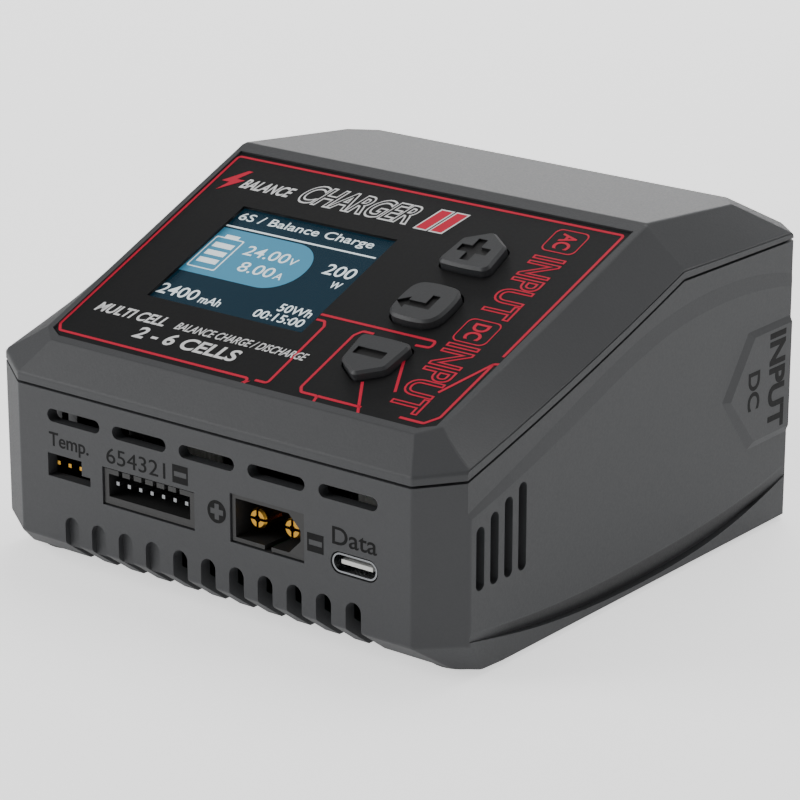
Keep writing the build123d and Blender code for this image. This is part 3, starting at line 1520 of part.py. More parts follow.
with BuildPart() as fan_blades:
    for i in range(fan_blade_count):
        angle = 2 * math.pi * i / fan_blade_count
        radial = Vector(math.cos(angle), 0, math.sin(angle))
        tangent = Vector(-math.sin(angle), 0, math.cos(angle))
        root = at(fan_x, rotor_front + rotor_length / 2, fan_z) + radial * (hub_diameter / 2 - 2)
        with BuildSketch(Plane(origin=root, x_dir=tangent, z_dir=radial)):
            with BuildLine():
                ThreePointArc((-blade_chord[0] / 2, -blade_chord[1] / 2), (-blade_bow, blade_bow),
                              (blade_chord[0] / 2, blade_chord[1] / 2))
            trace(line_width=blade_width)
        extrude(amount=rotor_diameter / 2)
    with BuildSketch(across(rotor_front)):
        with Locations((fan_x, fan_z)):
            Circle(rotor_diameter / 2)
            Circle(hub_diameter / 2 - hub_wall / 2, mode=Mode.SUBTRACT)
    extrude(amount=-rotor_length, mode=Mode.INTERSECT)

with BuildPart() as fan_rotor:
    with BuildSketch(across(rotor_front)):
        with Locations((fan_x, fan_z)):
            Circle(hub_diameter / 2)
    extrude(amount=-rotor_length)
    chamfer(fan_rotor.faces().sort_by(Axis.Y)[0].edges(), length=0.6)
    with BuildSketch(across(rotor_front + hub_wall + 0.4)):
        with Locations((fan_x, fan_z)):
            Circle(hub_diameter / 2 - hub_wall)
    extrude(amount=-rotor_length, mode=Mode.SUBTRACT)
    add(fan_blades.part)
    with BuildSketch(across(rotor_front)):
        with Locations((fan_x, fan_z)):
            Circle(fan_shaft_diameter / 2)
    extrude(amount=-rotor_length, mode=Mode.SUBTRACT)
fan_rotor.part.label = "fan_rotor"
export_step(fan_rotor.part, "parts/fan_rotor.step")

with BuildPart() as fan_magnet:
    with BuildSketch(across(rotor_front + hub_wall + 0.6)):
        with Locations((fan_x, fan_z)):
            Circle(hub_diameter / 2 - hub_wall)
            Circle(hub_diameter / 2 - hub_wall - magnet_wall, mode=Mode.SUBTRACT)
    extrude(amount=-(rotor_length - hub_wall - 1.0))
fan_magnet.part.label = "fan_magnet"
export_step(fan_magnet.part, "parts/fan_magnet.step")

with BuildPart() as fan_shaft:
    with BuildSketch(across(rotor_front + 0.1)):
        with Locations((fan_x, fan_z)):
            Circle(fan_shaft_diameter / 2)
    extrude(amount=rotor_front + 0.2 - bearing_span[0])
fan_shaft.part.label = "fan_shaft"
export_step(fan_shaft.part, "parts/fan_shaft.step")

# ---------------------------------------------------------------- screws and feet
driver_radius = 1.6             # hexagon recess in the screw heads
driver_depth = 1.1
with BuildPart() as fan_screws:
    rear = case_depth - 0.05
    profile = [(0, rear), (fan_screw_head, rear), (fan_screw_radius, rear - fan_screw_cone),
               (fan_screw_radius, rear - fan_screw_length), (0, rear - fan_screw_length)]
    for x, height in fan_screw_spots:
        add(turned_level(x, height, profile))
    with BuildSketch(across(rear)):
        with Locations(*fan_screw_spots):
            RegularPolygon(driver_radius, 6)
    extrude(amount=driver_depth, mode=Mode.SUBTRACT)
fan_screws.part.label = "fan_screws"
export_step(fan_screws.part, "parts/fan_screws.step")

with BuildPart() as case_screws:
    head_seat = screw_counterbore
    profile = [(0, head_seat - screw_head[1]), (screw_head[0] - 0.4, head_seat - screw_head[1]),
               (screw_head[0], head_seat - screw_head[1] + 0.4), (screw_head[0], head_seat),
               (screw_radius, head_seat), (screw_radius, post_split + screw_reach),
               (0, post_split + screw_reach)]
    for x, distance in post_spots:
        add(turned_upright(x, distance, profile))
    with BuildSketch(level(head_seat - screw_head[1])):
        with spots(post_spots):
            RegularPolygon(driver_radius, 6)
    extrude(amount=driver_depth, mode=Mode.SUBTRACT)
case_screws.part.label = "case_screws"
export_step(case_screws.part, "parts/case_screws.step")

with BuildPart() as rubber_feet:
    profile = [(0, -foot_height), (foot_radius - 0.6, -foot_height), (foot_radius - 0.1, -foot_height + 0.5),
               (foot_radius - 0.1, foot_recess), (0, foot_recess)]
    for x, distance in foot_spots:
        add(turned_upright(x, distance, profile))
rubber_feet.part.label = "rubber_feet"
export_step(rubber_feet.part, "parts/rubber_feet.step")
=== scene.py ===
"""Looks of a balance battery charger: materials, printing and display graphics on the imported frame."""

import math

import bmesh
import bpy
from mathutils import Matrix, Vector


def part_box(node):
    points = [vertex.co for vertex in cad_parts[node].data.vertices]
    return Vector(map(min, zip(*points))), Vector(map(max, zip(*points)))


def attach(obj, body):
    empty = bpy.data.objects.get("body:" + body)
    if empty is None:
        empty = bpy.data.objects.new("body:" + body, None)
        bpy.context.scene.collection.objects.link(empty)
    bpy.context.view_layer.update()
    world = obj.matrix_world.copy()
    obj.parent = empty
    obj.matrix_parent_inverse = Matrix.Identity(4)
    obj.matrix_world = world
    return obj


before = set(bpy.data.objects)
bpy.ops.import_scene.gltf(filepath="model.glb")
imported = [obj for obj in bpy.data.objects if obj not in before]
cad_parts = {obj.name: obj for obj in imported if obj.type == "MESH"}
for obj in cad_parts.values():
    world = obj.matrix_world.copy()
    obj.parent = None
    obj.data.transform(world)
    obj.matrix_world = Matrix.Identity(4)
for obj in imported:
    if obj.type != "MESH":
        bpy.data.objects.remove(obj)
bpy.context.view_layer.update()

MM = 0.001
FOOT = 0.001                    # the feet lift the case this far
TILT = math.radians(21.6)       # slope of the panel
HOUSING_LOW, HOUSING_HIGH = (Vector(corner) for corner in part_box("lower_housing"))
LABEL_TOP = -0.30               # the label's face, out of the panel's plane, in millimetres

# The scoop low on each side, darkened with painted shade, in metres. Each pair is where the painted shade
# fades in or out.
SIDE_WALL = 0.049               # how far the side faces stand from the middle
SCOOP_DEPTHS = (0.00003, 0.00015)   # behind the side face
SCOOP_WIDTHS = (0.0462, 0.0466)     # from the middle of the case
SCOOP_SHIFT = 0.0005            # its lower edge is lowest this far in front of the middle
SCOOP_CURVE = 2.4               # rise of the lower edge over the distance squared
SCOOP_LOWEST = 0.0021
SCOOP_RIM = 0.0002              # width of the change at the lower edge
SCOOP_TOP = (0.0104, 0.0110)
SCOOP_FRONT = (-0.0430, -0.0340)
SCOOP_REAR = (0.0360, 0.0460)

# The keys' sunk signs.
SIGN_HEIGHTS = (0.00108, 0.00114)   # between the sign's floor and the key's face, over the panel
SIGN_RIM = 0.0001
# middle and half size of each sign on the panel, in millimetres
KEY_SIGNS = {"plus_button": (19.6, -13.9, 3.2, 3.2), "enter_button": (19.05, -29.0, 3.8, 2.5),
             "minus_button": (19.6, -43.1, 3.2, 1.2)}


# ---------------------------------------------------------------- drawing surfaces
def surface(origin, across, up):
    """A surface to draw on in millimetres: across, up and outwards."""
    a, u = Vector(across).normalized(), Vector(up).normalized()
    axes = Matrix((a, u, a.cross(u))).transposed().to_4x4()
    return Matrix.Translation(Vector(origin)) @ axes @ Matrix.Scale(MM, 4)


PANEL_NORMAL = (0, -math.sin(TILT), math.cos(TILT))
PANEL_UP = (0, math.cos(TILT), math.sin(TILT))
PANEL_SPOT = (0, HOUSING_LOW.y + 0.0578, FOOT + 0.0584)
PANEL = surface(PANEL_SPOT, (1, 0, 0), PANEL_UP)
FRONT = surface((0, HOUSING_LOW.y, FOOT), (1, 0, 0), (0, 0, 1))
RIGHT = surface((HOUSING_HIGH.x, HOUSING_LOW.y, FOOT), (0, 1, 0), (0, 0, 1))
LEFT = surface((HOUSING_LOW.x, HOUSING_LOW.y, FOOT), (0, -1, 0), (0, 0, 1))
REAR = surface((0, HOUSING_HIGH.y, FOOT), (-1, 0, 0), (0, 0, 1))


# ---------------------------------------------------------------- node helpers
def rgb(code):
    """Linear colour of an sRGB hex code."""
    parts = [int(code[i:i + 2], 16) / 255 for i in (1, 3, 5)]
    return [c / 12.92 if c <= 0.04045 else ((c + 0.055) / 1.055) ** 2.4 for c in parts] + [1.0]


def add(tree, kind, inputs, **settings):
    """Adds a node; each input is a value or another node's output."""
    node = tree.nodes.new("ShaderNode" + kind)
    for key, value in settings.items():
        setattr(node, key, value)
    for key, value in inputs.items():
        if isinstance(value, bpy.types.NodeSocket):
            tree.links.new(value, node.inputs[key])
        else:
            node.inputs[key].default_value = value
    return node


def maths(tree, operation, *values):
    return add(tree, "Math", dict(enumerate(values)), operation=operation).outputs[0]


def product(tree, masks):
    """The masks multiplied together."""
    share = masks[0]
    for mask in masks[1:]:
        share = maths(tree, "MULTIPLY", share, mask)
    return share


def ramp(tree, value, low, high, start=0.0, end=1.0):
    """value mapped from low..high to start..end, held at the ends."""
    return add(tree, "MapRange", {0: value, 1: low, 2: high, 3: start, 4: end}).outputs[0]


def blend(tree, share, first, second):
    node = add(tree, "Mix", {0: share}, data_type="RGBA")
    for socket, value in ((node.inputs[6], first), (node.inputs[7], second)):
        if isinstance(value, bpy.types.NodeSocket):
            tree.links.new(value, socket)
        else:
            socket.default_value = value
    return node.outputs[2]


NOISE_SPAN = (0.3, 0.7)         # where most values of a noise lie
GLOSS_SPREAD = 0.08             # how far roughness wanders, as a share of itself
BROAD_GRAIN = 0.06              # scale of the mottle over that of the grain
BUMP_HEIGHT = 0.0001


class Shade:
    """A procedural material: mottled colour, uneven gloss and a fine bump, all in object space."""

    def __init__(self, name, colour, roughness, metallic=0.0, grain=900.0, bump=0.05, mottle=0.06,
                 sheen=0.5):
        self.material = bpy.data.materials.new(name)
        self.material.use_nodes = True
        self.tree = tree = self.material.node_tree
        tree.nodes.clear()
        self.coords = add(tree, "TexCoord", {}).outputs["Object"]
        fine, broad = (
            add(tree, "TexNoise", {"Vector": self.coords, "Scale": scale, "Detail": detail})
            for scale, detail in ((grain, 3.0), (grain * BROAD_GRAIN, 4.0)))
        self.fine, self.broad = fine.outputs["Fac"], broad.outputs["Fac"]
        base = rgb(colour)
        dark = [c * (1 - mottle) for c in base[:3]] + [1.0]
        light = [min(c * (1 + mottle), 1.0) for c in base[:3]] + [1.0]
        self.colour = blend(tree, self.broad, dark, light)
        rougher = min(roughness * (1 + GLOSS_SPREAD), 1.0)
        self.rough = ramp(tree, self.fine, *NOISE_SPAN, roughness * (1 - GLOSS_SPREAD), rougher)
        self.raise_by(self.fine, bump)
        self.surface = add(tree, "BsdfPrincipled", {"Metallic": metallic, "Specular IOR Level": sheen})
        self.output = add(tree, "OutputMaterial", {"Surface": self.surface.outputs[0]})

    def raise_by(self, height, strength):
        """Sets the bump from a height."""
        settings = {"Height": height, "Strength": strength, "Distance": BUMP_HEIGHT}
        self.bump = add(self.tree, "Bump", settings).outputs[0]

    def tint(self, share, code):
        """Mixes a colour in where share is 1."""
        self.colour = blend(self.tree, share, self.colour, rgb(code))

    def done(self):
        self.tree.links.new(self.colour, self.surface.inputs["Base Color"])
        self.tree.links.new(self.rough, self.surface.inputs["Roughness"])
        self.tree.links.new(self.bump, self.surface.inputs["Normal"])
        return self.material

    def axis(self, name):
        return add(self.tree, "SeparateXYZ", {0: self.coords}).outputs[name]


# ---------------------------------------------------------------- materials
def moulded_case():
    """ABS with a fine spark-eroded grain; painted shade darkens the long scoop low on each side."""
    shade = Shade("abs_moulded_grey", "#3e3f41", 0.56, grain=2600, bump=0.22, mottle=0.03)
    tree = shade.tree
    x, y, z = (shade.axis(name) for name in "XYZ")
    wide = maths(tree, "ABSOLUTE", x)
    from_middle = maths(tree, "ADD", y, SCOOP_SHIFT)
    squared = maths(tree, "MULTIPLY", from_middle, from_middle)
    lower_edge = maths(tree, "MULTIPLY_ADD", squared, SCOOP_CURVE, SCOOP_LOWEST)
    masks = [
        ramp(tree, maths(tree, "SUBTRACT", SIDE_WALL, wide), *SCOOP_DEPTHS),
        ramp(tree, wide, *SCOOP_WIDTHS),
        ramp(tree, maths(tree, "SUBTRACT", z, lower_edge), 0.0, SCOOP_RIM),
        ramp(tree, z, *SCOOP_TOP, 1.0, 0.0),
        ramp(tree, y, *SCOOP_FRONT),
        ramp(tree, y, *SCOOP_REAR, 1.0, 0.0),
    ]
    # painted shade: the scoop's recess is tinted dark to stand in for the shadow inside it
    shade.tint(product(tree, masks), "#232325")
    return shade.done()


def key_plastic(name, sign):
    """ABS key cap, with the sunk sign painted black."""
    shade = Shade(name, "#343537", 0.48, grain=2600, bump=0.12, mottle=0.03)
    tree = shade.tree
    x, y, z = (shade.axis(axis) for axis in "XYZ")
    off_y = maths(tree, "SUBTRACT", y, PANEL_SPOT[1])
    off_z = maths(tree, "SUBTRACT", z, PANEL_SPOT[2])

    def along(direction):
        """How far a point lies from the panel's origin along a direction."""
        parts = [maths(tree, "MULTIPLY", off, part) for off, part in zip((off_y, off_z), direction[1:])]
        return maths(tree, "ADD", *parts)

    masks = [ramp(tree, along(PANEL_NORMAL), *SIGN_HEIGHTS, 1.0, 0.0)]
    for place, middle, half in ((x, sign[0], sign[2]), (along(PANEL_UP), sign[1], sign[3])):
        away = maths(tree, "ABSOLUTE", maths(tree, "SUBTRACT", place, middle * MM))
        masks.append(ramp(tree, away, half * MM, half * MM + SIGN_RIM, 1.0, 0.0))
    shade.tint(product(tree, masks), "#0b0b0c")
    return shade.done()


def grid(shade, scale, line):
    """1 on the lines of a brick grid and 0 inside its cells."""
    black, white = (0, 0, 0, 1), (1, 1, 1, 1)
    colours = {"Color1": black, "Color2": black, "Mortar": white}
    settings = {"Vector": shade.coords, "Scale": scale, "Mortar Size": line, **colours}
    return add(shade.tree, "TexBrick", settings).outputs["Color"]


PAD_EDGE = (0.10, 0.12)         # radii of a tinned pad, in cells of its pattern


def circuit_board(name):
    """FR4 board: green solder mask over copper tracks, with tinned pads."""
    shade = Shade(name, "#114a2c", 0.35, grain=700, bump=0.05)
    shade.tint(maths(shade.tree, "MULTIPLY", grid(shade, 140.0, 0.03), 0.6), "#1d6b3d")
    pads = add(shade.tree, "TexVoronoi", {"Vector": shade.coords, "Scale": 320.0}).outputs["Distance"]
    shade.tint(ramp(shade.tree, pads, *PAD_EDGE, 1.0, 0.0), "#b9bcb8")
    return shade.done()


def wave(shade, axis, period):
    """A sine along one axis."""
    turns = maths(shade.tree, "MULTIPLY", shade.axis(axis), 2 * math.pi / period)
    return maths(shade.tree, "SINE", turns)


BAND_EDGE = 0.2                 # softness of a band's edge, as a height of the wave
BAND_BUMP = 0.3


def banded(name, colour, second, roughness, axis, period, metallic=0.0):
    """Fine bands along one axis: turns of wire, cable cores or extrusion lines."""
    shade = Shade(name, colour, roughness, metallic=metallic, grain=900, bump=0.05)
    bands = wave(shade, axis, period)
    shade.tint(ramp(shade.tree, bands, -BAND_EDGE, BAND_EDGE), second)
    shade.raise_by(bands, BAND_BUMP)
    return shade.done()


STRIPE_PERIOD = 0.006           # distance between the stripes of a capacitor's sleeve
STRIPE_EDGE = (0.75, 0.8)       # heights of the wave where a stripe starts
SLEEVE_ENDS = (0.0006, 0.0005)  # the sleeve ends this far below the can's top


def capacitor_can(name, top):
    """Aluminium can in a dark printed sleeve that leaves its top bare, with a pale stripe."""
    shade = Shade(name, "#23262b", 0.35, grain=800, bump=0.03)
    shade.tint(ramp(shade.tree, wave(shade, "Z", STRIPE_PERIOD), *STRIPE_EDGE), "#8d949c")
    shade.tint(ramp(shade.tree, shade.axis("Z"), *(top - end for end in SLEEVE_ENDS)), "#b5b8bb")
    return shade.done()


def glow(shade, colour, strength):
    """Makes a material give light of its own."""
    shade.tree.links.new(colour, shade.surface.inputs["Emission Color"])
    shade.surface.inputs["Emission Strength"].default_value = strength
    return shade.done()


def display_cell():
    """Glass of the lit display: a deep teal picture with a faint grid of picture cells."""
    shade = Shade("lcd_glass_teal", "#0f2733", 0.2, grain=500, bump=0.0, mottle=0.05, sheen=0.1)
    shade.tint(maths(shade.tree, "MULTIPLY", grid(shade, 2500.0, 0.02), 0.3), "#0b1c25")
    return glow(shade, blend(shade.tree, shade.broad, rgb("#112c3a"), rgb("#163647")), 0.55)


def lit_ink(name, code, strength):
    """A lit part of the display's picture, a little uneven."""
    shade = Shade(name, code, 0.3, grain=500, bump=0.0, mottle=0.02, sheen=0.1)
    brighter = [min(c * 1.04, 1) for c in rgb(code)]
    return glow(shade, blend(shade.tree, shade.fine, rgb(code), brighter), strength)


def clear_window():
    """Thin acrylic window: see-through, with a sharp sheen that grows towards grazing angles."""
    shade = Shade("acrylic_window", "#ffffff", 0.06, grain=300, bump=0.01, mottle=0.0)
    tree = shade.tree
    clear = add(tree, "BsdfTransparent", {"Color": (0.93, 0.95, 0.96, 1)}).outputs[0]
    sheen = add(tree, "BsdfGlossy", {"Roughness": shade.rough, "Normal": shade.bump}).outputs[0]
    outside = maths(tree, "SUBTRACT", 1.0, add(tree, "NewGeometry", {}).outputs["Backfacing"])
    facing = maths(tree, "MULTIPLY", outside, add(tree, "Fresnel", {"IOR": 1.3}).outputs[0])
    mixed = add(tree, "MixShader", {0: facing, 1: clear, 2: sheen}).outputs[0]
    tree.nodes.remove(shade.surface)
    tree.links.new(mixed, shade.output.inputs["Surface"])
    return shade.material


def fuse_glass():
    """Borosilicate tube of the fuse."""
    shade = Shade("borosilicate_glass", "#e8eeee", 0.05, grain=300, bump=0.01)
    shade.surface.inputs["Transmission Weight"].default_value = 0.9
    return shade.done()


CASE = moulded_case()
FILM = Shade("polyester_label_film", "#161617", 0.45, grain=1800, bump=0.06, mottle=0.05, sheen=0.18).done()
NYLON_BLACK = Shade("nylon_black", "#15120f", 0.42, grain=1500, bump=0.08, mottle=0.12).done()
NYLON_GREY = Shade("nylon_dark_grey", "#2b2b2b", 0.45, grain=1500, bump=0.08, mottle=0.1).done()
NYLON_WHITE = Shade("nylon_white", "#e2e2de", 0.4, grain=1500, bump=0.05, mottle=0.03).done()
GOLD = Shade("gold_plated_brass", "#c9973a", 0.24, metallic=1.0, grain=1200, bump=0.04, mottle=0.12).done()
ZINC = Shade("zinc_plated_steel", "#9a9c9e", 0.3, metallic=1.0, grain=1400, bump=0.06, mottle=0.1).done()
SHELL = Shade("nickel_plated_shell", "#8d8f92", 0.28, metallic=1.0, grain=1400, bump=0.04,
              mottle=0.08).done()
ALUMINIUM = banded("extruded_aluminium", "#b0b2b5", "#a2a4a8", 0.36, "X", 0.0004, metallic=1.0)
BOARD = circuit_board("fr4_solder_mask")
COPPER = banded("enamelled_copper_wire", "#a5602c", "#7c431c", 0.35, "Z", 0.0007, metallic=0.8)
FERRITE = Shade("sintered_ferrite", "#2b2c2f", 0.6, grain=1600, bump=0.2, mottle=0.18).done()
RUBBER = Shade("silicone_rubber", "#161617", 0.7, grain=1500, bump=0.15, mottle=0.12).done()
EPOXY = Shade("moulded_epoxy", "#1a1a1b", 0.5, grain=1800, bump=0.12, mottle=0.1).done()
BOX_FILM = Shade("film_capacitor_case", "#8c8a3a", 0.4, grain=1200, bump=0.05, mottle=0.08).done()
RIBBON = banded("flat_cable_film", "#cfcfc8", "#e4e4de", 0.45, "X", 0.001)
BRONZE = Shade("sintered_bronze", "#8a6a3c", 0.4, metallic=1.0, grain=2000, bump=0.12, mottle=0.15).done()
FAN_PLASTIC = Shade("glass_filled_pbt", "#1b1c1d", 0.42, grain=1500, bump=0.1, mottle=0.08).done()
INK_WHITE = Shade("screen_ink_white", "#e6e6e6", 0.5, grain=2500, bump=0.04, mottle=0.03).done()
INK_RED = Shade("screen_ink_red", "#cf2440", 0.5, grain=2500, bump=0.04, mottle=0.06, sheen=0.15).done()
INK_DARK = Shade("pad_print_black", "#0d0d0e", 0.6, grain=2500, bump=0.04, mottle=0.08, sheen=0.2).done()
INK_FILM = Shade("screen_ink_black", "#161617", 0.45, grain=1800, bump=0.06, mottle=0.05, sheen=0.18).done()
LIT_WHITE = lit_ink("display_white", "#dfe8ea", 0.75)
LIT_BLUE = lit_ink("display_blue", "#4a8ba9", 0.5)

NODE_MATERIALS = {
    "lower_housing": CASE, "top_cover": CASE, "label_panel": FILM, "display_window": clear_window(),
    "lcd_glass": display_cell(), "lcd_frame": NYLON_BLACK, "control_board": BOARD,
    "control_board_screws": ZINC,
    "switch_bodies": NYLON_BLACK, "plus_plunger": RUBBER, "enter_plunger": RUBBER, "minus_plunger": RUBBER,
    "main_board": BOARD, "main_board_screws": ZINC, "balance_socket": NYLON_GREY, "balance_pins": ZINC,
    "output_socket": NYLON_GREY, "output_pins": GOLD, "temp_socket": NYLON_BLACK, "temp_pins": GOLD,
    "usb_shell": SHELL, "usb_tongue": NYLON_WHITE, "power_transistors": EPOXY, "heat_sink": ALUMINIUM,
    "power_inductors": FERRITE, "board_capacitors": capacitor_can("sleeved_can_small", 0.0266),
    "controller_chip": EPOXY, "buzzer": NYLON_BLACK, "lead_plug": NYLON_WHITE, "ribbon_sockets": NYLON_WHITE,
    "ribbon_cable": RIBBON, "power_board": BOARD, "power_board_screws": ZINC, "transformer_core": FERRITE,
    "transformer_winding": COPPER, "bulk_capacitor": capacitor_can("sleeved_can_large", 0.0336),
    "bridge_rectifier": EPOXY, "x_capacitor": BOX_FILM, "fuse_tube": fuse_glass(), "fuse_caps": ZINC,
    "power_heat_sink": ALUMINIUM, "rectifier": EPOXY, "ac_inlet": NYLON_BLACK, "ac_pins": SHELL,
    "dc_inlet": NYLON_BLACK, "dc_pins": GOLD, "fan_frame": FAN_PLASTIC, "fan_bearing": BRONZE,
    "fan_stator": COPPER, "fan_rotor": FAN_PLASTIC, "fan_magnet": FERRITE, "fan_shaft": ZINC,
    "fan_screws": ZINC, "case_screws": ZINC, "rubber_feet": RUBBER,
}
for key_name, sign in KEY_SIGNS.items():
    NODE_MATERIALS[key_name] = key_plastic("abs_" + key_name, sign)
for node_name, material in NODE_MATERIALS.items():
    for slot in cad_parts[node_name].material_slots:
        slot.material = material


# ---------------------------------------------------------------- flat pieces
def curve_mesh(curve):
    """The mesh of a filled flat curve or of lettering."""
    holder = bpy.data.objects.new("holder", curve)
    bpy.context.scene.collection.objects.link(holder)
    bpy.context.view_layer.update()
    mesh = bpy.data.meshes.new_from_object(holder.evaluated_get(bpy.context.evaluated_depsgraph_get()))
    bpy.data.objects.remove(holder)
    return mesh


def piece(name, mesh, material, body="case"):
    """Makes a finished mesh an object of the charger."""
    shape = bmesh.new()
    shape.from_mesh(mesh)
    bmesh.ops.remove_doubles(shape, verts=shape.verts, dist=1e-7)
    bmesh.ops.recalc_face_normals(shape, faces=shape.faces)
    shape.to_mesh(mesh)
    shape.free()
    mesh.materials.clear()
    mesh.materials.append(material)
    obj = bpy.data.objects.new(name, mesh)
    bpy.context.scene.collection.objects.link(obj)
    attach(obj, body)


def drawing(name, groups, place, low, high, material, slot_name="label_film"):
    """Thin raised prints. Each group is closed outlines in millimetres; one inside another is a hole."""
    joined = bmesh.new()
    for outlines in groups:
        curve = bpy.data.curves.new(name, "CURVE")
        curve.dimensions = "2D"
        curve.fill_mode = "BOTH"
        curve.extrude = (high - low) / 2
        for outline in outlines:
            spline = curve.splines.new("POLY")
            spline.points.add(len(outline) - 1)
            for point, (x, y) in zip(spline.points, outline):
                point.co = (x, y, 0, 1)
            spline.use_cyclic_u = True
        joined.from_mesh(curve_mesh(curve))
    mesh = bpy.data.meshes.new(name)
    joined.to_mesh(mesh)
    joined.free()
    mesh.transform(place @ Matrix.Translation((0, 0, (low + high) / 2)))
    piece(name, mesh, material)


def letters_mesh(words, offset):
    """Lettering one unit high and one thick, with its outline moved out by offset."""
    curve = bpy.data.curves.new("letters", "FONT")
    curve.body = words
    curve.size = 1.0
    curve.offset = offset
    curve.extrude = 0.5
    curve.resolution_u = 6
    return curve_mesh(curve)


def extent(mesh):
    """Left, right, bottom and top of a flat mesh."""
    xs = [v.co.x for v in mesh.vertices]
    ys = [v.co.y for v in mesh.vertices]
    return min(xs), max(xs), min(ys), max(ys)


def lettering(name, words, place, middle, size, low, high, material, turn=0.0, slant=0.0, bold=0.0,
              slot_name="label_film"):
    """Raised lettering, in millimetres; its plain outline fills size = (length, height)
    and bold thickens it."""
    left, right, bottom, top = extent(letters_mesh(words, 0.0))
    scale = (size[0] / (right - left), size[1] / (top - bottom))
    mesh = letters_mesh(words, bold * 2 / (scale[0] + scale[1]))
    lean = Matrix.Identity(4)
    lean[0][1] = slant
    mesh.transform(Matrix.Translation((-(left + right) / 2, -(bottom + top) / 2, 0)))
    mesh.transform(lean @ Matrix.Diagonal((scale[0], scale[1], high - low, 1)))
    turned = Matrix.Rotation(math.radians(turn), 4, "Z")
    mesh.transform(place @ Matrix.Translation((*middle, (low + high) / 2)) @ turned)
    piece(name, mesh, material)


def rounded(points, radii, steps=6):
    """A closed outline with its corners rounded; radii is one number or one per corner."""
    count = len(points)
    radii = [radii] * count if isinstance(radii, (int, float)) else radii
    outline = []
    for i, radius in enumerate(radii):
        here, before, after = (Vector(points[j % count]) for j in (i, i - 1, i + 1))
        a, b = (before - here).normalized(), (after - here).normalized()
        if radius <= 0:
            outline.append(tuple(here))
            continue
        half = a.angle(b) / 2
        reach = radius / math.tan(half)
        middle = here + (a + b).normalized() * (radius / math.sin(half))
        start, end = here + a * reach - middle, here + b * reach - middle
        sweep = start.angle_signed(end)
        for k in range(steps + 1):
            turned = Matrix.Rotation(-sweep * k / steps, 2) @ start
            outline.append(tuple(middle + turned))
    return outline


def box_outline(x, y, width, height, radii=0.0):
    w, h = width / 2, height / 2
    return rounded([(x - w, y - h), (x + w, y - h), (x + w, y + h), (x - w, y + h)], radii)


def ring(outline_of, width):
    """Two outlines, outer and inner, from a function of how far the outline grows."""
    return [outline_of(width / 2), outline_of(-width / 2)]


def stroke(points, width):
    """The closed outline of a line with square ends that turns at each point."""
    points = [Vector(p) for p in points]
    left, right = [], []
    for i, here in enumerate(points):
        before = (here - points[i - 1]).normalized() if i else None
        after = (points[i + 1] - here).normalized() if i < len(points) - 1 else None
        along = (before + after).normalized() if before and after else (before or after)
        side = Vector((-along.y, along.x))
        stretch = 1.0
        if before and after:
            stretch = 1 / max(0.5, side.dot(Vector((-before.y, before.x))))
        left.append(tuple(here + side * width / 2 * stretch))
        right.append(tuple(here - side * width / 2 * stretch))
    return left + right[::-1]


def path(points, radius, steps=5):
    """An open line with its inner corners rounded."""
    return rounded(points, [0.0] + [radius] * (len(points) - 2) + [0.0], steps)


# ---------------------------------------------------------------- printing on the label
INK = (LABEL_TOP - 0.02, LABEL_TOP + 0.03)
INK_OVER = (LABEL_TOP - 0.02, LABEL_TOP + 0.05)
LINE_WIDTH = 0.5
LINE_CORNER = 0.6

red_lines = [
    [(2.4, -55.2), (2.6, -54.7), (3.8, -53.9), (-38.9, -53.9), (-40.1, -52.4), (-41.3, -1.2),
     (40.7, -1.2), (40.1, -35.5)],
    [(3.6, -37.0), (5.3, -37.0), (6.1, -38.2), (6.3, -53.9), (3.8, -53.9)],
    [(3.5, -35.6), (27.0, -35.6), (27.1, -37.3), (24.2, -37.5)],
    [(15.6, -37.2), (13.4, -37.2), (12.5, -38.6), (12.5, -52.8), (13.3, -53.9), (16.6, -53.9),
     (16.9, -55.4)],
    [(16.6, -53.9), (25.4, -53.9)],
    [(40.6, -37.3), (39.7, -37.6), (35.3, -46.6)],
    [(39.7, -37.6), (39.4, -51.8), (37.7, -53.9), (33.0, -53.9)],
    [(24.9, -41.6), (28.4, -48.8)],
    [(21.6, -48.4), (25.8, -55.3)],
]
red_strokes = [[stroke(path(points, LINE_CORNER), LINE_WIDTH)] for points in red_lines]
drawing("label_red_lines", red_strokes, PANEL, *INK, INK_RED)

PILL_COLUMN, WORD_COLUMN = 32.1, 32.2   # the words run down the label's right side
PILL_SIZE, PILL_CORNER, PILL_LINE = (6.4, 5.9), 1.2, 0.4
# each input: name, height of its pill, height and length of its word
INPUTS = (("ac", -5.7, -18.8, 16.8), ("dc", -31.3, -43.8, 17.4))


def pill(y):
    """The ring of a rounded frame in the column of words."""
    wide, high = PILL_SIZE
    return ring(lambda grow: box_outline(PILL_COLUMN, y, wide + grow, high + grow, PILL_CORNER), PILL_LINE)


drawing("label_pills", [pill(entry[1]) for entry in INPUTS], PANEL, *INK, INK_RED)
for name, pill_y, word_y, length in INPUTS:
    lettering("label_" + name, name.upper(), PANEL, (PILL_COLUMN, pill_y), (4.0, 3.0), *INK, INK_RED,
              turn=-90, bold=0.08)
    for part, inks, ink, bold in (("edge_", INK, INK_RED, 0.22), ("fill_", INK_OVER, INK_FILM, -0.12)):
        lettering("label_input_" + part + name, "INPUT", PANEL, (WORD_COLUMN, word_y), (length, 5.9),
                  *inks, ink, turn=-90, bold=bold)

bolt = [(-36.4, -4.6), (-39.6, -8.4), (-37.9, -8.4), (-38.9, -11.0), (-35.2, -7.3), (-37.0, -7.3),
        (-35.4, -4.6)]
drawing("label_bolt", [[bolt]], PANEL, *INK, INK_RED)

BARS = (4.2, 7.4)               # lower left corners of the two leaning bars
BAR_LOW, BAR_HIGH = -9.9, -4.3
BAR_WIDTH, BAR_LEAN = 2.2, 1.7
BAR_POINT = 1.2                 # how much further the sharp corners grow


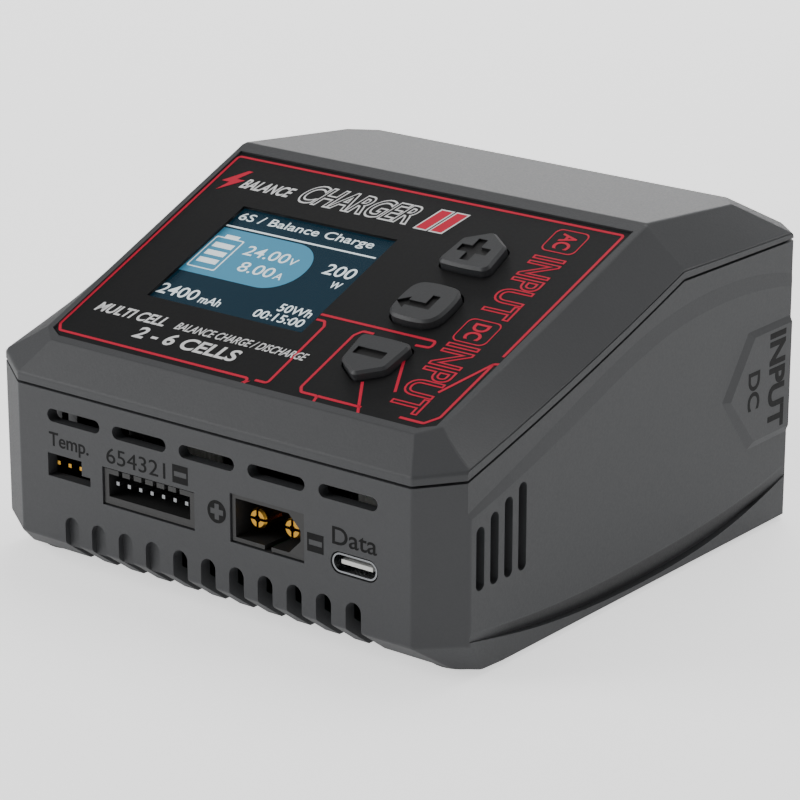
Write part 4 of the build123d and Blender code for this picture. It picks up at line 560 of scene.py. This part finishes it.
def bar(x, grow):
    """A leaning bar, grown all round."""
    point = grow * BAR_POINT
    return [(x - point, BAR_LOW - grow), (x + BAR_WIDTH + grow, BAR_LOW - grow),
            (x + BAR_WIDTH + BAR_LEAN + point, BAR_HIGH + grow), (x + BAR_LEAN - grow, BAR_HIGH + grow)]


def label_words(name, words, middle, size, slant, bold, inks=INK, ink=INK_WHITE):
    lettering("label_" + name, words, PANEL, middle, size, *inks, ink, slant=slant, bold=bold)


label_words("word_small", "BALANCE", (-29.4, -8.0), (10.6, 2.6), 0.25, 0.07)
label_words("word_edge", "CHARGER", (-9.6, -7.1), (24.0, 5.0), 0.3, 0.27)
label_words("word_fill", "CHARGER", (-9.6, -7.1), (24.0, 5.0), 0.3, -0.05, INK_OVER, INK_FILM)
for name, grow, inks, ink in (("edge", 0.3, INK, INK_WHITE), ("fill", 0.0, INK_OVER, INK_RED)):
    drawing("label_bars_" + name, [[bar(x, grow)] for x in BARS], PANEL, *inks, ink)
label_words("care", "MULTI CELL", (-29.0, -46.1), (15.2, 2.3), 0.2, 0.07)
label_words("modes", "BALANCE CHARGE / DISCHARGE", (-5.3, -46.2), (27.4, 1.8), 0.2, 0.02)
label_words("cells", "2 - 6 CELLS", (-14.0, -49.8), (21.6, 2.8), 0.15, 0.1)

# ---------------------------------------------------------------- picture on the display
PICTURE = (-1.31, -1.27)        # on the display's glass
PICTURE_OVER = (-1.31, -1.25)


def screen_words(name, words, x, y, length, height, bold=0.02):
    lettering("display_" + name, words, PANEL, (x, y), (length, height), *PICTURE_OVER, LIT_WHITE, bold=bold,
              slot_name="display_glass")


def screen_drawing(name, groups, heights, ink):
    drawing("display_" + name, groups, PANEL, *heights, ink, "display_glass")


PILL_LEFT, PILL_RIGHT, PILL_BOTTOM, PILL_TOP = -31.2, -7.9, -31.9, -19.1
BATTERY_X = -27.3
BATTERY_BARS = (-23.8, -26.0, -28.2)

blue_box = [(PILL_LEFT, PILL_BOTTOM), (PILL_RIGHT, PILL_BOTTOM), (PILL_RIGHT, PILL_TOP),
            (PILL_LEFT, PILL_TOP)]
screen_drawing("pill", [[rounded(blue_box, [0.0, 6.2, 6.2, 0.0], 12)]], PICTURE, LIT_BLUE)
battery = [ring(lambda grow: box_outline(BATTERY_X, -26.0, 6.0 + grow, 8.6 + grow, 0.4), 0.5)]
battery += [[box_outline(BATTERY_X, -21.2, 3.0, 0.9)]]
battery += [[box_outline(BATTERY_X, y, 4.3, 1.3)] for y in BATTERY_BARS]
screen_drawing("battery", battery, PICTURE_OVER, LIT_WHITE)
screen_drawing("line", [[box_outline(-14.7, -18.45, 33.0, 0.35)]], PICTURE_OVER, LIT_WHITE)
screen_words("mode", "6S / Balance Charge", -15.4, -15.7, 29.4, 2.6, bold=0.012)
screen_words("volts", "24.00", -17.7, -23.5, 9.4, 2.6)
screen_words("volts_unit", "V", -11.8, -23.9, 1.6, 1.7)
screen_words("amps", "8.00", -16.8, -27.7, 7.4, 2.6)
screen_words("amps_unit", "A", -11.7, -28.1, 1.6, 1.7)
screen_words("watts", "200", -1.8, -23.6, 6.2, 2.8)
screen_words("watts_unit", "W", -0.2, -27.1, 2.0, 1.7)
screen_words("charge", "2400", -26.4, -37.2, 8.4, 2.7)
screen_words("charge_unit", "mAh", -19.0, -37.7, 4.5, 1.9)
screen_words("energy", "50Wh", -2.5, -35.2, 6.9, 2.0)
screen_words("clock", "00:15:00", -4.1, -37.8, 10.4, 2.0)

# ---------------------------------------------------------------- legends on the case
PRINT = (-0.02, 0.03)


def legend(name, words, place, x, y, length, height, turn=0.0, bold=0.04):
    lettering("legend_" + name, words, place, (x, y), (length, height), *PRINT, INK_DARK, turn=turn,
              bold=bold, slot_name="moulded_grey")


def front_sign(name, outlines):
    drawing("legend_" + name, [outlines], FRONT, *PRINT, INK_DARK, "moulded_grey")


legend("temp", "Temp.", FRONT, -30.2, 21.9, 8.8, 3.1)
legend("cells", "654321", FRONT, -15.3, 22.2, 12.9, 2.7, bold=0.0)
legend("data", "Data", FRONT, 30.3, 19.6, 8.8, 2.9)
for name, x, y in (("cell", -5.65, 22.3), ("output", 22.45, 17.3)):
    front_sign("minus_" + name, [box_outline(x, y, 3.3, 3.1), box_outline(x, y, 2.7, 0.9)])

DISC_X, DISC_Y, DISC_RADIUS = 2.05, 17.8, 1.95
DISC_SIDES = 48
CROSS_REACH, CROSS_HALF = 1.35, 0.47
disc = []
for side in range(DISC_SIDES):
    angle = side * 2 * math.pi / DISC_SIDES
    disc.append((DISC_X + DISC_RADIUS * math.cos(angle), DISC_Y + DISC_RADIUS * math.sin(angle)))
quarter = [(-CROSS_REACH, -CROSS_HALF), (-CROSS_HALF, -CROSS_HALF), (-CROSS_HALF, -CROSS_REACH)]
cross = []
for x_sign, y_sign, order in ((1, 1, 1), (-1, 1, -1), (-1, -1, 1), (1, -1, -1)):
    cross += [(DISC_X + x_sign * x, DISC_Y + y_sign * y) for x, y in quarter[::order]]
front_sign("plus", [disc, cross])
for name, place, mirror, words in (("right", RIGHT, 1, "DC"), ("left", LEFT, -1, "AC")):
    legend("word_" + name, "INPUT", place, mirror * 91.2, 26.0, 17.0, 4.6, turn=-90, bold=0.22)
    legend("kind_" + name, words, place, mirror * 84.0, 25.8, 6.6, 3.4, turn=-90, bold=0.12)
legend("rear_ac", "AC IN", REAR, 28.7, 21.0, 8.5, 2.2)
legend("rear_dc", "DC IN", REAR, 11.5, 21.0, 8.5, 2.2)

# ---------------------------------------------------------------- floor, light and camera
FLOOR_GLOW = 0.45               # light that the paper gives of its own
SEEN_GLOW = 0.6                 # what the camera alone sees on top of it
FLOOR_HALF = 3.0
WORLD_LIGHT = 0.28
LIGHT_AIM = (0, 0, 0.03)

floor_mesh = bpy.data.meshes.new("floor")
floor_shape = bmesh.new()
bmesh.ops.create_grid(floor_shape, x_segments=1, y_segments=1, size=FLOOR_HALF)
floor_shape.to_mesh(floor_mesh)
floor_shape.free()
floor_shade = Shade("studio_paper", "#fafafa", 0.9, grain=40, bump=0.0, mottle=0.003, sheen=0.1)
floor_shade.surface.inputs["Emission Color"].default_value = (1, 1, 1, 1)
seen = add(floor_shade.tree, "LightPath", {}).outputs["Is Camera Ray"]
paper_glow = maths(floor_shade.tree, "ADD", maths(floor_shade.tree, "MULTIPLY", seen, SEEN_GLOW), FLOOR_GLOW)
floor_shade.tree.links.new(paper_glow, floor_shade.surface.inputs["Emission Strength"])
floor_mesh.materials.append(floor_shade.done())
floor = bpy.data.objects.new("floor", floor_mesh)
bpy.context.scene.collection.objects.link(floor)

world = bpy.data.worlds.new("studio")
bpy.context.scene.world = world
world.use_nodes = True
world.node_tree.nodes["Background"].inputs["Color"].default_value = (1, 1, 1, 1)
world.node_tree.nodes["Background"].inputs["Strength"].default_value = WORLD_LIGHT


def softbox(name, spot, size, power):
    """A square soft light aimed at the middle of the case."""
    data = bpy.data.lights.new(name, "AREA")
    data.shape = "SQUARE"
    data.size = size
    data.energy = power
    lamp = bpy.data.objects.new(name, data)
    aim = Vector(LIGHT_AIM) - Vector(spot)
    lamp.matrix_world = Matrix.Translation(spot) @ aim.to_track_quat("-Z", "Y").to_matrix().to_4x4()
    bpy.context.scene.collection.objects.link(lamp)


softbox("key_left", (-0.75, -0.65, 0.55), 0.6, 6.6)
softbox("fill_right", (0.85, 0.55, 0.5), 0.6, 1.7)
softbox("top_back", (0.0, 0.5, 1.0), 0.8, 5.6)
softbox("rim_back", (-0.55, 0.85, 0.35), 0.6, 4.0)

CAMERA_SPOT = (0.331915, -0.423884, 0.206836)
AZIMUTH, ELEVATION, ROLL = math.radians(38.094), math.radians(18.784), math.radians(0.069)
level = Vector((-math.sin(AZIMUTH), math.cos(AZIMUTH), 0))
forward = level * math.cos(ELEVATION) - Vector((0, 0, math.sin(ELEVATION)))
aside = Vector((math.cos(AZIMUTH), math.sin(AZIMUTH), 0))
above = aside.cross(forward)
camera_x = aside * math.cos(ROLL) + above * math.sin(ROLL)
camera_y = above * math.cos(ROLL) - aside * math.sin(ROLL)
camera_turn = Matrix((camera_x, camera_y, -forward)).transposed().to_4x4()
camera_data = bpy.data.cameras.new("camera")
camera_data.sensor_width = 36.0
camera_data.lens = 149.8
camera_data.clip_start = 0.01
camera = bpy.data.objects.new("camera", camera_data)
camera.matrix_world = Matrix.Translation(CAMERA_SPOT) @ camera_turn
bpy.context.scene.collection.objects.link(camera)
bpy.context.scene.camera = camera
